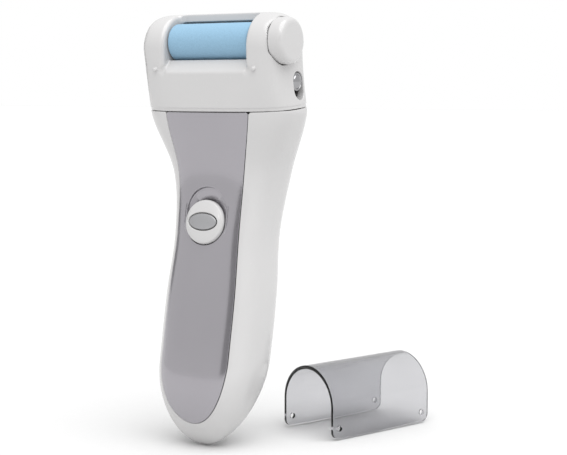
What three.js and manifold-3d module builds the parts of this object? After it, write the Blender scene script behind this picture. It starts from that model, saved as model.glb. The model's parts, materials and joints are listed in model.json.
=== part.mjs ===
// Electric callus remover: a battery handle with a curved shell, a head with a powered abrasive roller
// between two arms, a roller cartridge that pulls out sideways, and a loose see-through cap beside it.
// Millimetres, +Z up along the handle, +X towards the knob, -Y towards the switch.
import * as THREE from "three";
import { mergeVertices } from "three/addons/utils/BufferGeometryUtils.js";
import Module from "manifold-3d";

const wasm = await Module();
wasm.setup();

// ---------------------------------------------------------------- driving dimensions
const overallHeight = 178; // from the handle's rounded end to the top of the arms
const seamHeight = 137.6; // joint between the handle and the head, at the front
const seamSlope = 0.08; // the joint's rise towards the back
const gap = 0.3; // clearance between pieces that touch
const gripHeight = 88; // the waist, where the hand holds it
const gripDepth = 4; // centre of the waist, behind the roller's plane
const beyond = 60; // cutting solids reach this far, past every surface of the device

// Handle sections, every stationStep from stationStart: half width, centre in Y, half depth.
const stationStart = -12.4;
const stationStep = 25;
const handleStations = [
  [20.8, -17.4, 17.4],
  [21.2, -11.7, 18.0],
  [22.0, -6.0, 18.5],
  [22.1, -1.2, 18.2],
  [20.9, 3.4, 17.8],
  [24.4, 7.4, 18.4],
  [34.8, 4.0, 17.4],
];
const endRoundHeight = 34; // the rounded end reaches up to here
const handleSquareness = 3; // exponent of the rounded sections
const handleWall = 2.4;
const shellTop = seamHeight + 6; // the handle's form runs up to here before the joint cuts it

// Head and arms.
const armHalfWidth = 32.2;
const armSquareness = 9;
const archRadius = 14.4; // outer side profile of the arms
const archCentre = { y: -0.2, z: overallHeight - archRadius };
const openingHalfWidth = 20.15;
const rollerAxis = { y: -4.2, z: 166.2 };
const cradleRadius = 9.2;
const guardBarFront = -0.8;
const barPocket = { y: -1.5, radius: 8.7 }; // the deeper hollow under the bar, behind the roller
const ledgeFront = { y: -14.6, z: 153.3 };
const ledgeBackZ = 158.9;
const nubSpacing = 24.2;
const nubHeight = 155;
const nubRadius = 0.9;

// Roller cartridge.
const rollerRadius = 7.7;
const rollerHalfLength = 19.6;
const sleeveThickness = 1.5;
const axleRadius = 2;
const plugRadius = 8.1;
const knobRadius = 9.4;
const knobSeat = 30.1;
const knobFace = 36.8;

// Gear train in the left arm, module in millimetres of pitch diameter per tooth.
const gearModule = 0.5;
const pinionTeeth = 12;
const wheelTeeth = 36;
const smallTeeth = 16;
const outputTeeth = 24;
const armInnerWall = 1.65;
const innerLayer = { near: -22.3, far: -25.1 };
const outerLayer = { near: -25.6, far: -28.2 };
const gearCavityRadius = 11.4;
const gearCavityBottom = 141.9;
const gearCavitySlant = { height: 16.1, depth: 7.6 }; // its front leans back below this height
const coverLip = 1;
const coverInside = -30;
const motorAxis = { y: 3.4, z: 145.6 };
const motorRadius = 10;
const motorPocketRadius = 10.5;
const middleHalfWidth = 20.1; // the hollow between the arms, which holds the motor

// Switch, in a frame tilted to lie in the panel's surface.
const switchHeight = 92.7;
const switchTravel = 5;
const switchRadius = 9.2;
const recessRadius = 9.55;
const recessDepth = 1.3;

// Release button on the head's right side.
const releaseCentre = { y: 6.5, z: 150 };
const releaseRadius = 3.8;
const releaseTravel = 3.3;
const releaseSlotClearance = 0.3;

// Front panel.
const panelThickness = 1.4;
const panelHalfWidths = [16.4, 16.3, 15.3, 16.2, 20.3]; // every stationStep from the panel's round end up
const panelRoundTop = 37.6;
const panelTip = 10.4;

// Battery bay, in a frame that leans with the handle.
const cellRadius = 7.25;
const cellLength = 50.5;
const cellSpacing = 7.6;
const bayOrigin = { y: -5.2, z: 37.6 };
const bayLean = 0.185;
const cellCentreY = 6.5;
const batteryCoverHalfWidth = 15.4;
const batteryCoverRange = [40, 97];
const batteryCoverCorner = 5;
const batteryCoverWall = 2;
const fingerScoop = { radius: 9, halfWidth: 6, y: 32.2, z: 91 };

// Cap, standing on the table beside the handle.
const capThickness = 1.5;
const capLength = 56;
const capHeight = 29.5;
const capInnerRadius = archRadius + gap;
const capPlace = { x: 37.65, y: 48.64, yaw: 70.6 };
const capCornerRadius = 3;
const capHoleHeight = 4.6;
const capHoleRadius = 1.2;

// ---------------------------------------------------------------- shapes and solids

/** A closed mesh as a solid, with its shared vertices merged. */
function solid(geometry) {
  const plain = new THREE.BufferGeometry();
  plain.setAttribute("position", geometry.getAttribute("position"));
  if (geometry.index) plain.setIndex(geometry.index);
  const merged = mergeVertices(plain, 1e-4);
  return new wasm.Manifold(
    new wasm.Mesh({
      numProp: 3,
      vertProperties: new Float32Array(merged.attributes.position.array),
      triVerts: new Uint32Array(merged.index.array),
    }),
  );
}

/** A solid back as a geometry. */
function geometryOf(body) {
  const mesh = body.getMesh();
  const geometry = new THREE.BufferGeometry();
  geometry.setAttribute("position", new THREE.BufferAttribute(new Float32Array(mesh.vertProperties), 3));
  geometry.setIndex(new THREE.BufferAttribute(new Uint32Array(mesh.triVerts), 1));
  geometry.computeVertexNormals();
  return geometry;
}

function box(x0, x1, y0, y1, z0, z1) {
  const geometry = new THREE.BoxGeometry(x1 - x0, y1 - y0, z1 - z0);
  geometry.translate((x0 + x1) / 2, (y0 + y1) / 2, (z0 + z1) / 2);
  return solid(geometry);
}

/** A round bar along X, at a place in the YZ plane. */
function rodX(radius, x0, x1, place, segments = 20) {
  const geometry = new THREE.CylinderGeometry(radius, radius, x1 - x0, segments);
  geometry.rotateZ(-Math.PI / 2);
  geometry.translate((x0 + x1) / 2, place.y, place.z);
  return solid(geometry);
}

/** A round bar along Y. */
function rodY(radius, y0, y1, x, z, segments = 20) {
  const geometry = new THREE.CylinderGeometry(radius, radius, y1 - y0, segments);
  geometry.translate(x, (y0 + y1) / 2, z);
  return solid(geometry);
}

/** A round bar along Z. */
function rodZ(radius, z0, z1, x, y, segments = 20) {
  const geometry = new THREE.CylinderGeometry(radius, radius, z1 - z0, segments);
  geometry.rotateX(Math.PI / 2);
  geometry.translate(x, y, (z0 + z1) / 2);
  return solid(geometry);
}

/** An outline in (y, z) extruded along X. */
function prismX(outline, x0, x1) {
  const options = { depth: x1 - x0, bevelEnabled: false, curveSegments: 8 };
  const geometry = new THREE.ExtrudeGeometry(outline, options);
  const turn = new THREE.Matrix4().makeBasis(
    new THREE.Vector3(0, 1, 0),
    new THREE.Vector3(0, 0, 1),
    new THREE.Vector3(1, 0, 0),
  );
  geometry.applyMatrix4(turn);
  geometry.translate(x0, 0, 0);
  return solid(geometry);
}

/** An outline in (x, z) extruded along Y. */
function prismY(outline, y0, y1) {
  const options = { depth: y1 - y0, bevelEnabled: false, curveSegments: 8 };
  const geometry = new THREE.ExtrudeGeometry(outline, options);
  geometry.rotateX(Math.PI / 2);
  geometry.translate(0, y1, 0);
  return solid(geometry);
}

/** A solid turned about an axis along X through a place, from points [x, radius]. */
function turnedX(points, place, segments = 32) {
  const profile = points.map(([x, radius]) => new THREE.Vector2(radius, x));
  const geometry = new THREE.LatheGeometry(profile, segments);
  geometry.rotateZ(-Math.PI / 2);
  geometry.translate(0, place.y, place.z);
  return solid(geometry);
}

/** A rounded rectangle in the plane of an outline. */
function roundedRectangle(u0, u1, v0, v1, radius) {
  const outline = new THREE.Shape();
  outline.moveTo(u0 + radius, v0);
  outline.lineTo(u1 - radius, v0);
  outline.absarc(u1 - radius, v0 + radius, radius, -Math.PI / 2, 0);
  outline.absarc(u1 - radius, v1 - radius, radius, 0, Math.PI / 2);
  outline.absarc(u0 + radius, v1 - radius, radius, Math.PI / 2, Math.PI);
  outline.absarc(u0 + radius, v0 + radius, radius, Math.PI, 1.5 * Math.PI);
  return outline;
}

/** A slot with round ends: radius, and the heights of its two end centres. */
function slotOutline(radius, u, lowCentre, highCentre) {
  const outline = new THREE.Shape();
  outline.absarc(u, highCentre, radius, 0, Math.PI);
  outline.absarc(u, lowCentre, radius, Math.PI, 2 * Math.PI);
  return outline;
}

/** An arched outline: a half circle on a straight back and a front that slants in towards the bottom. */
function archOutline(radius, bottom) {
  const front = archCentre.y - radius;
  const outline = new THREE.Shape();
  outline.moveTo(front + gearCavitySlant.depth, bottom);
  outline.lineTo(archCentre.y + radius, bottom);
  outline.absarc(archCentre.y, archCentre.z, radius, 0, Math.PI);
  outline.lineTo(front, bottom + gearCavitySlant.height);
  return outline;
}

/** A tube of round section along points of a free curve. */
function tube(points, radius, sides, steps) {
  const section = new THREE.Shape();
  section.absarc(0, 0, radius, 0, 2 * Math.PI);
  const path = new THREE.CatmullRomCurve3(points.map((point) => new THREE.Vector3(...point)));
  const options = { steps, bevelEnabled: false, extrudePath: path, curveSegments: sides / 2 };
  return solid(new THREE.ExtrudeGeometry(section, options));
}

/** A coil spring about the Z axis through (x, y). */
function coil(x, y, z0, z1, radiusLow, radiusHigh, wire, turns) {
  class Helix extends THREE.Curve {
    getPoint(t) {
      const angle = t * turns * 2 * Math.PI;
      const radius = radiusLow + (radiusHigh - radiusLow) * t;
      const height = z0 + wire + (z1 - z0 - 2 * wire) * t;
      return new THREE.Vector3(x + radius * Math.cos(angle), y + radius * Math.sin(angle), height);
    }
  }
  const section = new THREE.Shape();
  section.absarc(0, 0, wire, 0, 2 * Math.PI);
  const options = { steps: turns * 10, bevelEnabled: false, extrudePath: new Helix(), curveSegments: 3 };
  return solid(new THREE.ExtrudeGeometry(section, options));
}

/** Rings of points, listed upwards, joined into a closed solid. */
function loft(rings) {
  const count = rings[0].length;
  const positions = rings.flat().flatMap((point) => [point.x, point.y, point.z]);
  const faces = [];
  for (let level = 0; level + 1 < rings.length; level++) {
    for (let i = 0; i < count; i++) {
      const a = level * count + i;
      const b = level * count + ((i + 1) % count);
      faces.push(a, b, b + count, a, b + count, a + count);
    }
  }
  const last = (rings.length - 1) * count;
  for (let i = 1; i + 1 < count; i++) {
    faces.push(0, i + 1, i);
    faces.push(last, last + i, last + i + 1);
  }
  const geometry = new THREE.BufferGeometry();
  geometry.setAttribute("position", new THREE.Float32BufferAttribute(positions, 3));
  geometry.setIndex(faces);
  return solid(geometry);
}

// ---------------------------------------------------------------- outer form

const stationCurves = [0, 1, 2].map(
  (column) => new THREE.SplineCurve(handleStations.map((row, i) => new THREE.Vector2(i, row[column]))),
);

/** The handle's half width, centre and half depth at a height. */
function handleSection(z) {
  const t = (z - stationStart) / (stationStep * (handleStations.length - 1));
  const [halfWidth, centre, halfDepth] = stationCurves.map((curve) => curve.getPoint(Math.min(1, t)).y);
  const below = Math.max(0, (endRoundHeight - z) / endRoundHeight);
  const rounding = Math.sqrt(Math.max(0, 1 - below * below));
  return {
    halfWidth: halfWidth * rounding,
    centre,
    halfDepth: halfDepth * Math.pow(rounding, 1.5),
    squareness: handleSquareness,
  };
}

/** The head's section at a height: it narrows, leans forward and squares up from the seam to the arms. */
function headSection(z) {
  const seam = handleSection(seamHeight);
  const rise = Math.min(1, (z - seamHeight) / (archCentre.z - seamHeight));
  const fall = 1 - rise;
  const lean = 1 - fall ** 1.25;
  const seamFront = seam.centre - seam.halfDepth;
  const seamBack = seam.centre + seam.halfDepth;
  const front = seamFront + (archCentre.y - archRadius - seamFront) * lean;
  const back = seamBack + (archCentre.y + archRadius - seamBack) * lean;
  return {
    halfWidth: armHalfWidth + (seam.halfWidth - armHalfWidth) * fall ** 2,
    centre: (front + back) / 2,
    halfDepth: (back - front) / 2,
    squareness: handleSquareness * (armSquareness / handleSquareness) ** rise,
  };
}

/** The section of the whole body, handle and head, at a height. */
function bodySection(z) {
  return z > seamHeight ? headSection(z) : handleSection(z);
}

/** One ring of a rounded section, a given distance inside its outline. */
function ring(section, z, inset, count) {
  const halfWidth = Math.max(0.05, section.halfWidth - inset);
  const halfDepth = Math.max(0.05, section.halfDepth - inset);
  const power = 2 / section.squareness;
  return Array.from({ length: count }, (_, i) => {
    const angle = (2 * Math.PI * (i + 0.5)) / count;
    const c = Math.cos(angle);
    const s = Math.sin(angle);
    return new THREE.Vector3(
      Math.sign(c) * halfWidth * Math.pow(Math.abs(c), power),
      section.centre + Math.sign(s) * halfDepth * Math.pow(Math.abs(s), power),
      z,
    );
  });
}

/** The handle's form between two heights, a given distance inside its outer surface. */
function handleForm(bottom, top, inset, count = 32) {
  const start = Math.max(bottom, endRoundHeight);
  const endShares = bottom < start ? [0, 0.015, 0.06, 0.15, 0.32, 0.6] : [];
  const heights = endShares.map((share) => bottom + share * (start - bottom));
  const straightTop = Math.min(top, seamHeight);
  const levels = 8;
  for (let i = 0; i <= levels; i++) heights.push(start + ((straightTop - start) * i) / levels);
  if (top > seamHeight) heights.push(top);
  return loft(heights.map((z) => ring(bodySection(z), z, inset, count)));
}

/** The height of the joint between handle and head at a place from front to back. */
function seamAt(y) {
  return seamHeight + seamSlope * (y - frontAt(seamHeight));
}

/** Everything below the joint, which is moved up by a lift. */
function belowSeam(lift) {
  const outline = new THREE.Shape();
  outline.moveTo(-beyond, -beyond);
  outline.lineTo(beyond, -beyond);
  outline.lineTo(beyond, seamAt(beyond) + lift);
  outline.lineTo(-beyond, seamAt(-beyond) + lift);
  return prismX(outline, -beyond, beyond);
}

/** The head's form: stacked sections cut to the arched side profile. */
function headForm(inset, count = 36) {
  const heights = [];
  const levels = 8;
  for (let i = 0; i <= levels; i++) {
    heights.push(seamHeight + ((archCentre.z - seamHeight) * i) / levels);
  }
  heights.push(overallHeight + 1);
  const stack = loft(heights.map((z) => ring(headSection(z), z, inset, count)));
  const profile = new THREE.Shape();
  profile.moveTo(-beyond, seamHeight - 1);
  profile.lineTo(beyond, seamHeight - 1);
  profile.lineTo(beyond, archCentre.z);
  profile.lineTo(archCentre.y + archRadius - inset, archCentre.z);
  profile.absarc(archCentre.y, archCentre.z, archRadius - inset, 0, Math.PI);
  profile.lineTo(-beyond, archCentre.z);
  return stack.intersect(prismX(profile, -beyond, beyond));
}

/** The front surface's Y at a height on the handle's centre line. */
function frontAt(z) {
  const section = handleSection(z);
  return section.centre - section.halfDepth;
}

// ---------------------------------------------------------------- materials and pieces

function finish(color, roughness, metalness = 0, opacity = 1) {
  return new THREE.MeshStandardMaterial({ color, roughness, metalness, opacity, transparent: opacity < 1 });
}

const white = finish(0xf1f0ee, 0.3);
const silver = finish(0xa5a2aa, 0.22, 0.55);
const abrasive = finish(0x8fb9d4, 0.9);
const chrome = finish(0xb4b4b8, 0.15, 0.9);
const greyPlastic = finish(0x9b9ca0, 0.4, 0.2);
const smoke = finish(0xb6b6bc, 0.08, 0, 0.4);
const darkPlastic = finish(0x2b2c2f, 0.5);
const acetal = finish(0xe4e1d6, 0.45);
const steel = finish(0xa9acb0, 0.3, 0.9);
const brass = finish(0xc9a44c, 0.35, 0.9);
const boardGreen = finish(0x1f6b3c, 0.5);
const redWire = finish(0xb3201f, 0.5);
const blackWire = finish(0x1b1b1d, 0.5);
const cellSkin = finish(0x3a5f8f, 0.35, 0.3);
const copper = finish(0x9c5a2e, 0.4, 0.8);

const device = new THREE.Group();
device.position.set(0, -gripDepth, -gripHeight);

/** Adds a solid as a named mesh of a group. */
function piece(name, body, material, group = device) {
  const mesh = new THREE.Mesh(geometryOf(body), material);
  mesh.name = name;
  group.add(mesh);
  return mesh;
}

// ---------------------------------------------------------------- handle

const panelSide = -8; // the panel stays in front of this Y

/** The panel's outline in (x, z), grown by a margin, and running on above the seam. */
function panelOutline(margin) {
  const outline = new THREE.Shape();
  const curve = new THREE.SplineCurve(panelHalfWidths.map((width, i) => new THREE.Vector2(i, width)));
  const steps = 12;
  const side = Array.from({ length: steps + 1 }, (_, i) => {
    const z = panelRoundTop + (i / steps) * (seamHeight - panelRoundTop);
    return new THREE.Vector2(curve.getPoint(i / steps).y + margin, z);
  });
  side.push(new THREE.Vector2(side[steps].x, seamHeight + 5));
  outline.moveTo(-side[0].x, side[0].y);
  const drop = panelRoundTop - panelTip + margin;
  outline.absellipse(0, panelRoundTop, side[0].x, drop, Math.PI, 2 * Math.PI, false);
  side.slice(1).forEach((point) => outline.lineTo(point.x, point.y));
  side.reverse().forEach((point) => outline.lineTo(-point.x, point.y));
  return outline;
}

/** The handle's front skin inside the panel's outline, which is grown by a margin. */
function panelSkin(margin, thickness) {
  const proud = margin > 0 ? 0.4 : 0;
  return handleForm(0, shellTop, -proud)
    .intersect(prismY(panelOutline(margin), -beyond, panelSide))
    .subtract(handleForm(0, shellTop + 1, thickness));
}

const headScrewX = 22.2;
const headScrewY = -4.5;
const screwLug = { inner: 19.4, outer: 34, halfDepth: 3.5, bottom: 132.7, top: 136 };

/** The opening in the rear wall that the battery cover fills. */
function batteryOpening(margin) {
  const [low, high] = batteryCoverRange;
  const half = batteryCoverHalfWidth + margin;
  const outline = roundedRectangle(-half, half, low - margin, high + margin, batteryCoverCorner + margin);
  return prismY(outline, 2, beyond);
}

function addHandleShell() {
  const outer = handleForm(0, shellTop, 0).intersect(belowSeam(-gap / 2));
  let shell = outer.subtract(handleForm(handleWall, shellTop + 1, handleWall));
  const lugRoom = handleForm(100, seamHeight, 1);
  const { inner, outer: outerEnd, halfDepth, bottom, top } = screwLug;
  [-1, 1].forEach((side) => {
    const ends = [side * inner, side * outerEnd].sort((a, b) => a - b);
    const lug = box(...ends, headScrewY - halfDepth, headScrewY + halfDepth, bottom, top);
    shell = shell.add(lug.intersect(lugRoom));
  });
  shell = shell.subtract(panelSkin(gap / 2, panelThickness + gap));
  const rebate = 3;
  const window = prismY(panelOutline(-rebate), -beyond, panelSide)
    .intersect(box(-beyond, beyond, -beyond, beyond, -1, seamHeight - 2 * rebate));
  shell = shell.subtract(window).subtract(batteryOpening(gap));
  [-1, 1].forEach((side) => {
    shell = shell.subtract(rodZ(1.3, bottom - 5, top + 2, side * headScrewX, headScrewY, 16));
  });
  piece("handle_shell", shell, white);
}

function addBatteryCover() {
  const [low, high] = batteryCoverRange;
  const skin = handleForm(low - 10, high + 13, 0).subtract(handleForm(low - 11, high + 14, batteryCoverWall));
  const { radius, halfWidth } = fingerScoop;
  const scoop = rodX(radius, -halfWidth, halfWidth, fingerScoop, 48);
  const cover = skin.intersect(batteryOpening(0)).subtract(scoop);
  piece("battery_cover", cover, white);
}

/** A group whose Y axis points into the handle, square to the panel's surface at the switch. */
const switchFrame = new THREE.Group();
switchFrame.position.set(0, frontAt(switchHeight), switchHeight);
switchFrame.rotation.x = -Math.atan((frontAt(switchHeight + 1) - frontAt(switchHeight - 1)) / 2);
device.add(switchFrame);
switchFrame.updateMatrix();

/** A solid given in the switch's frame, moved into the device's frame. */
function fromSwitchFrame(body) {
  return body.transform(switchFrame.matrix.toArray());
}

const stemHalf = 2.2;

function addFrontPanel() {
  const dish = prismY(slotOutline(recessRadius + 1.4, 0, 0, switchTravel), 0.9, 2.6);
  const recess = prismY(slotOutline(recessRadius, 0, 0, switchTravel), -6, recessDepth);
  const stemSlot = box(
    -stemHalf - gap, stemHalf + gap, -6, 6, -stemHalf - gap, stemHalf + gap + switchTravel,
  );
  const panel = panelSkin(0, panelThickness)
    .intersect(belowSeam(-gap / 2))
    .add(fromSwitchFrame(dish))
    .subtract(fromSwitchFrame(recess))
    .subtract(fromSwitchFrame(stemSlot));
  piece("front_panel", panel, silver);
}

/** An ellipse in (x, z). */
function ellipseOutline(halfX, halfZ) {
  const outline = new THREE.Shape();
  outline.absellipse(0, 0, halfX, halfZ, 0, 2 * Math.PI, false);
  return outline;
}

function addSwitch() {
  const face = -1.6;
  const disc = turnedX(
    [[face, 0], [face, switchRadius - 1.6], [face + 0.4, switchRadius - 0.5], [face + 1.2, switchRadius],
      [recessDepth - gap, switchRadius], [recessDepth - gap, 0]],
    { y: 0, z: 0 },
    40,
  );
  const upright = new THREE.Matrix4().makeRotationZ(Math.PI / 2);
  const stem = box(-stemHalf, stemHalf, 0.5, 5.2, -stemHalf, stemHalf);
  const pocket = prismY(ellipseOutline(7.1, 3.8), face - 2, face + 0.7);
  const slider = disc.transform(upright.toArray()).add(stem).subtract(pocket);
  piece("switch_slider", slider, white, switchFrame);
  piece("switch_insert", prismY(ellipseOutline(6.9, 3.6), face - 0.4, face + 0.4), greyPlastic, switchFrame);
  const leverSlot = box(-1.7, 1.7, 5, 8.4, -1.7, 1.7 + switchTravel);
  piece("slide_switch", box(-6.5, 6.5, 6, 9.5, -7, 12).subtract(leverSlot), darkPlastic, switchFrame);
  piece("switch_lever", box(-1.3, 1.3, 5.5, 8.1, -1.3, 1.3), acetal, switchFrame);
  const board = box(-12, 12, 9.8, 11, -16, 20);
  piece("circuit_board", board, boardGreen, switchFrame);
}

// ---------------------------------------------------------------- battery bay

const bay = new THREE.Group();
bay.position.set(0, bayOrigin.y, bayOrigin.z);
bay.rotation.x = -bayLean;
device.add(bay);

function addBatteryBay() {
  const trayHalf = 15.2;
  const trayFloor = -2.2;
  const trayWall = 1.1;
  const endSpace = 5;
  const plate = box(-trayHalf, trayHalf, trayFloor, trayFloor + trayWall, -endSpace, cellLength + endSpace);
  const endWall = (low) => box(-trayHalf, trayHalf, trayFloor, 10, low, low + trayWall);
  const tray = plate.add(endWall(-endSpace)).add(endWall(cellLength + endSpace - trayWall));
  piece("battery_tray", tray, darkPlastic, bay);

  const nubLength = 1.2;
  [-1, 1].forEach((side, i) => {
    const x = side * cellSpacing;
    const nubUp = side < 0;
    const canLow = nubUp ? 0 : nubLength;
    const canHigh = nubUp ? cellLength - nubLength : cellLength;
    const nubLow = nubUp ? cellLength - 2 : 0;
    const can = rodZ(cellRadius, canLow, canHigh, x, cellCentreY, 32);
    const nub = rodZ(2.6, nubLow, nubLow + 2, x, cellCentreY, 16);
    piece("battery_" + (i + 1), can.add(nub), cellSkin, bay);
  });

  const contactHalf = 5.2;
  const contactY = [cellCentreY - 5, cellCentreY + 2.2];
  const contactRange = { near: 3.1, far: 3.6 };
  const bridgeEnd = cellSpacing + contactHalf;
  const bridge = box(-bridgeEnd, bridgeEnd, ...contactY, -contactRange.far, -contactRange.near);
  piece("contact_bridge", bridge, steel, bay);
  const upper = [cellLength + contactRange.near, cellLength + contactRange.far];
  [["terminal_positive", -cellSpacing], ["terminal_negative", cellSpacing]].forEach(([name, x]) => {
    piece(name, box(x - contactHalf, x + contactHalf, ...contactY, ...upper), steel, bay);
  });

  const spring = { near: 0.3, far: 2.8, wide: 4, narrow: 2.2, wire: 0.35, turns: 2 };
  const { near, far, wide, narrow, wire, turns } = spring;
  const lowSpring = coil(-cellSpacing, cellCentreY, -far, -near, wide, narrow, wire, turns);
  piece("contact_spring_lower", lowSpring, steel, bay);
  const springRange = [cellLength + near, cellLength + far];
  const highSpring = coil(cellSpacing, cellCentreY, ...springRange, narrow, wide, wire, turns);
  piece("contact_spring_upper", highSpring, steel, bay);
}

// ---------------------------------------------------------------- gear train geometry

const pitch = (teeth) => (teeth * gearModule) / 2;
const upperCentreDistance = pitch(outputTeeth) + pitch(smallTeeth);
const lowerCentreDistance = pitch(wheelTeeth) + pitch(pinionTeeth);

/** Where the compound gear sits: at both centre distances from the roller's and the motor's axes. */
function compoundPlace() {
  const dy = motorAxis.y - rollerAxis.y;
  const dz = motorAxis.z - rollerAxis.z;
  const span = Math.hypot(dy, dz);
  const along = (upperCentreDistance ** 2 - lowerCentreDistance ** 2 + span ** 2) / (2 * span);
  const aside = Math.sqrt(Math.max(0, upperCentreDistance ** 2 - along ** 2));
  return {
    y: rollerAxis.y + (dy * along - dz * aside) / span,
    z: rollerAxis.z + (dz * along + dy * aside) / span,
  };
}

const compoundAxis = compoundPlace();

/** The direction in the YZ plane from one place to another, as an angle from +Y towards +Z. */
function bearing(from, to) {
  return Math.atan2(to.z - from.z, to.y - from.y);
}

/** A spur gear along X, with a tooth centred on the angle given. */
function gear(teeth, near, far, place, toothAngle) {
  const tip = pitch(teeth) + 0.8 * gearModule;
  const root = pitch(teeth) - 1.15 * gearModule;
  const step = (2 * Math.PI) / teeth;
  const outline = new THREE.Shape();
  const corners = [[-0.31, root], [-0.12, tip], [0.12, tip], [0.31, root]];
  for (let i = 0; i < teeth; i++) {
    corners.forEach(([share, radius], k) => {
      const angle = toothAngle + (i + share) * step;
      const y = place.y + radius * Math.cos(angle);
      const z = place.z + radius * Math.sin(angle);
      if (i === 0 && k === 0) outline.moveTo(y, z);
      else outline.lineTo(y, z);
    });
  }
  return prismX(outline, Math.min(near, far), Math.max(near, far));
}

const halfStep = (teeth) => Math.PI / teeth;
const boreClearance = 0.08;
const spindleRadius = 1.5;
const gearAxleRadius = 1;

function addGears() {
  const outputTooth = bearing(rollerAxis, compoundAxis);
  const smallTooth = bearing(compoundAxis, rollerAxis) + halfStep(smallTeeth);
  const wheelTooth = bearing(compoundAxis, motorAxis);
  const pinionTooth = bearing(motorAxis, compoundAxis) + halfStep(pinionTeeth);
  const output = gear(outputTeeth, innerLayer.near, innerLayer.far, rollerAxis, outputTooth)
    .subtract(rodX(spindleRadius + boreClearance, -40, 0, rollerAxis, 16));
  piece("drive_gear", output, acetal);
  const dog = rodX(2.6, -19.95, -16.2, rollerAxis, 6);
  piece("drive_spindle", rodX(spindleRadius, innerLayer.far, -19, rollerAxis, 16).add(dog), steel);
  const bushRange = [-openingHalfWidth - armInnerWall + 0.05, -openingHalfWidth - 0.05];
  const bush = rodX(2.9, ...bushRange, rollerAxis, 24)
    .subtract(rodX(spindleRadius + boreClearance, -40, 0, rollerAxis, 16));
  piece("spindle_bush", bush, brass);
  const compound = gear(smallTeeth, innerLayer.near, outerLayer.near, compoundAxis, smallTooth)
    .add(gear(wheelTeeth, outerLayer.near, outerLayer.far, compoundAxis, wheelTooth))
    .subtract(rodX(gearAxleRadius + boreClearance, -40, 0, compoundAxis, 16));
  piece("compound_gear", compound, acetal);
  piece("gear_axle", rodX(gearAxleRadius, -30.9, -21, compoundAxis, 16), steel);
  const pinion = gear(pinionTeeth, outerLayer.near + 0.2, outerLayer.far, motorAxis, pinionTooth)
    .subtract(rodX(motorShaftRadius + boreClearance, -40, 0, motorAxis, 16));
  piece("motor_pinion", pinion, brass);
}

// ---------------------------------------------------------------- motor

const motorRange = [-19.6, 7];
const motorFlatHalf = 7.8;
const motorWall = 0.8;
const motorShaftRadius = 1;

/** The axis of one of the two screws that hold the motor, on the side -1 or 1. */
function motorScrewPlace(side) {
  return { y: motorAxis.y + side * 5.8, z: motorAxis.z - 0.5 };
}

function addMotor() {
  const [near, far] = motorRange;
  const bossRadius = 3;
  const shaftHole = 1.1;
  const flats = box(
    near - 3, far + 9, -beyond, beyond, motorAxis.z - motorFlatHalf, motorAxis.z + motorFlatHalf,
  );
  let can = turnedX(
    [
      [far, motorRadius - motorWall],
      [near + motorWall, motorRadius - motorWall],
      [near + motorWall, shaftHole],
      [near - 2 * motorWall, shaftHole],
      [near - 2 * motorWall, bossRadius],
      [near, bossRadius],
      [near, motorRadius],
      [far, motorRadius],
      [far, motorRadius - motorWall],
    ],
    motorAxis,
    32,
  ).intersect(flats);
  [-1, 1].forEach((side) => {
    can = can.subtract(rodX(0.9, near - 1, near + 3, motorScrewPlace(side), 12));
  });
  piece("motor_can", can, steel);

  let endCap = rodX(motorRadius - 0.2, far + gap, far + 3, motorAxis, 32)
    .intersect(flats)
    .subtract(rodX(motorShaftRadius + 0.2, far - 1, far + 5, motorAxis, 12));
  [-1, 1].forEach((side) => {
    const y = motorAxis.y + side * 4.5;
    const terminal = box(far + 2.5, far + 6, y - 1, y + 1, motorAxis.z - 0.25, motorAxis.z + 0.25);
    endCap = endCap.add(terminal);
  });
  piece("motor_end_cap", endCap, darkPlastic);

  piece("motor_shaft", rodX(motorShaftRadius, -28.6, far + 3.5, motorAxis, 16), steel);
  const shaftBore = rodX(motorShaftRadius + boreClearance, -beyond, beyond, motorAxis, 16);
  piece("motor_rotor", rodX(6.8, near + 3.6, far - 2, motorAxis, 24).subtract(shaftBore), copper);
  [-1, 1].forEach((side, i) => {
    const place = motorScrewPlace(side);
    const screw = rodX(1.7, -23.2, -22.1, place, 16).add(rodX(0.8, -22.2, near + 0.6, place, 12));
    piece("motor_screw_" + (i + 1), screw, steel);
  });
}

// ---------------------------------------------------------------- head

const coverScrews = [
  { y: 9.2, z: 149.3 },
  { y: 5.6, z: 171.6 },
];
const latchCavity = { x: [23.2, 29.8], y: [-2, 12.5], top: 156.6 };

/** The outline of the gear cover, which sits on a step around the gears, grown by a margin. */
function coverOutline(margin) {
  const step = coverLip + margin;
  return archOutline(gearCavityRadius + step, gearCavityBottom - step);
}

/** The space in front of and around the roller, open to the front and the top. */
function rollerOpening() {
  const profile = new THREE.Shape();
  const ledgeBackY = rollerAxis.y - Math.sqrt(cradleRadius ** 2 - (rollerAxis.z - ledgeBackZ) ** 2);
  const barZ = rollerAxis.z + Math.sqrt(cradleRadius ** 2 - (guardBarFront - rollerAxis.y) ** 2);
  const start = Math.atan2(ledgeBackZ - rollerAxis.z, ledgeBackY - rollerAxis.y);
  const end = Math.atan2(barZ - rollerAxis.z, guardBarFront - rollerAxis.y);
  profile.moveTo(-beyond, ledgeFront.z - 40);
  profile.lineTo(ledgeFront.y - 4, ledgeFront.z - 4.3);
  profile.lineTo(ledgeFront.y, ledgeFront.z);
  profile.lineTo(ledgeBackY, ledgeBackZ);
  profile.absarc(rollerAxis.y, rollerAxis.z, cradleRadius, start, end);
  profile.lineTo(guardBarFront, overallHeight + beyond);
  profile.lineTo(-beyond, overallHeight + beyond);
  const span = [-openingHalfWidth, openingHalfWidth];
  const pocket = rodX(barPocket.radius, ...span, { y: barPocket.y, z: rollerAxis.z }, 48)
    .intersect(box(...span, -beyond, beyond, rollerAxis.z, overallHeight));
  return prismX(profile, ...span).add(pocket);
}

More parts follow.
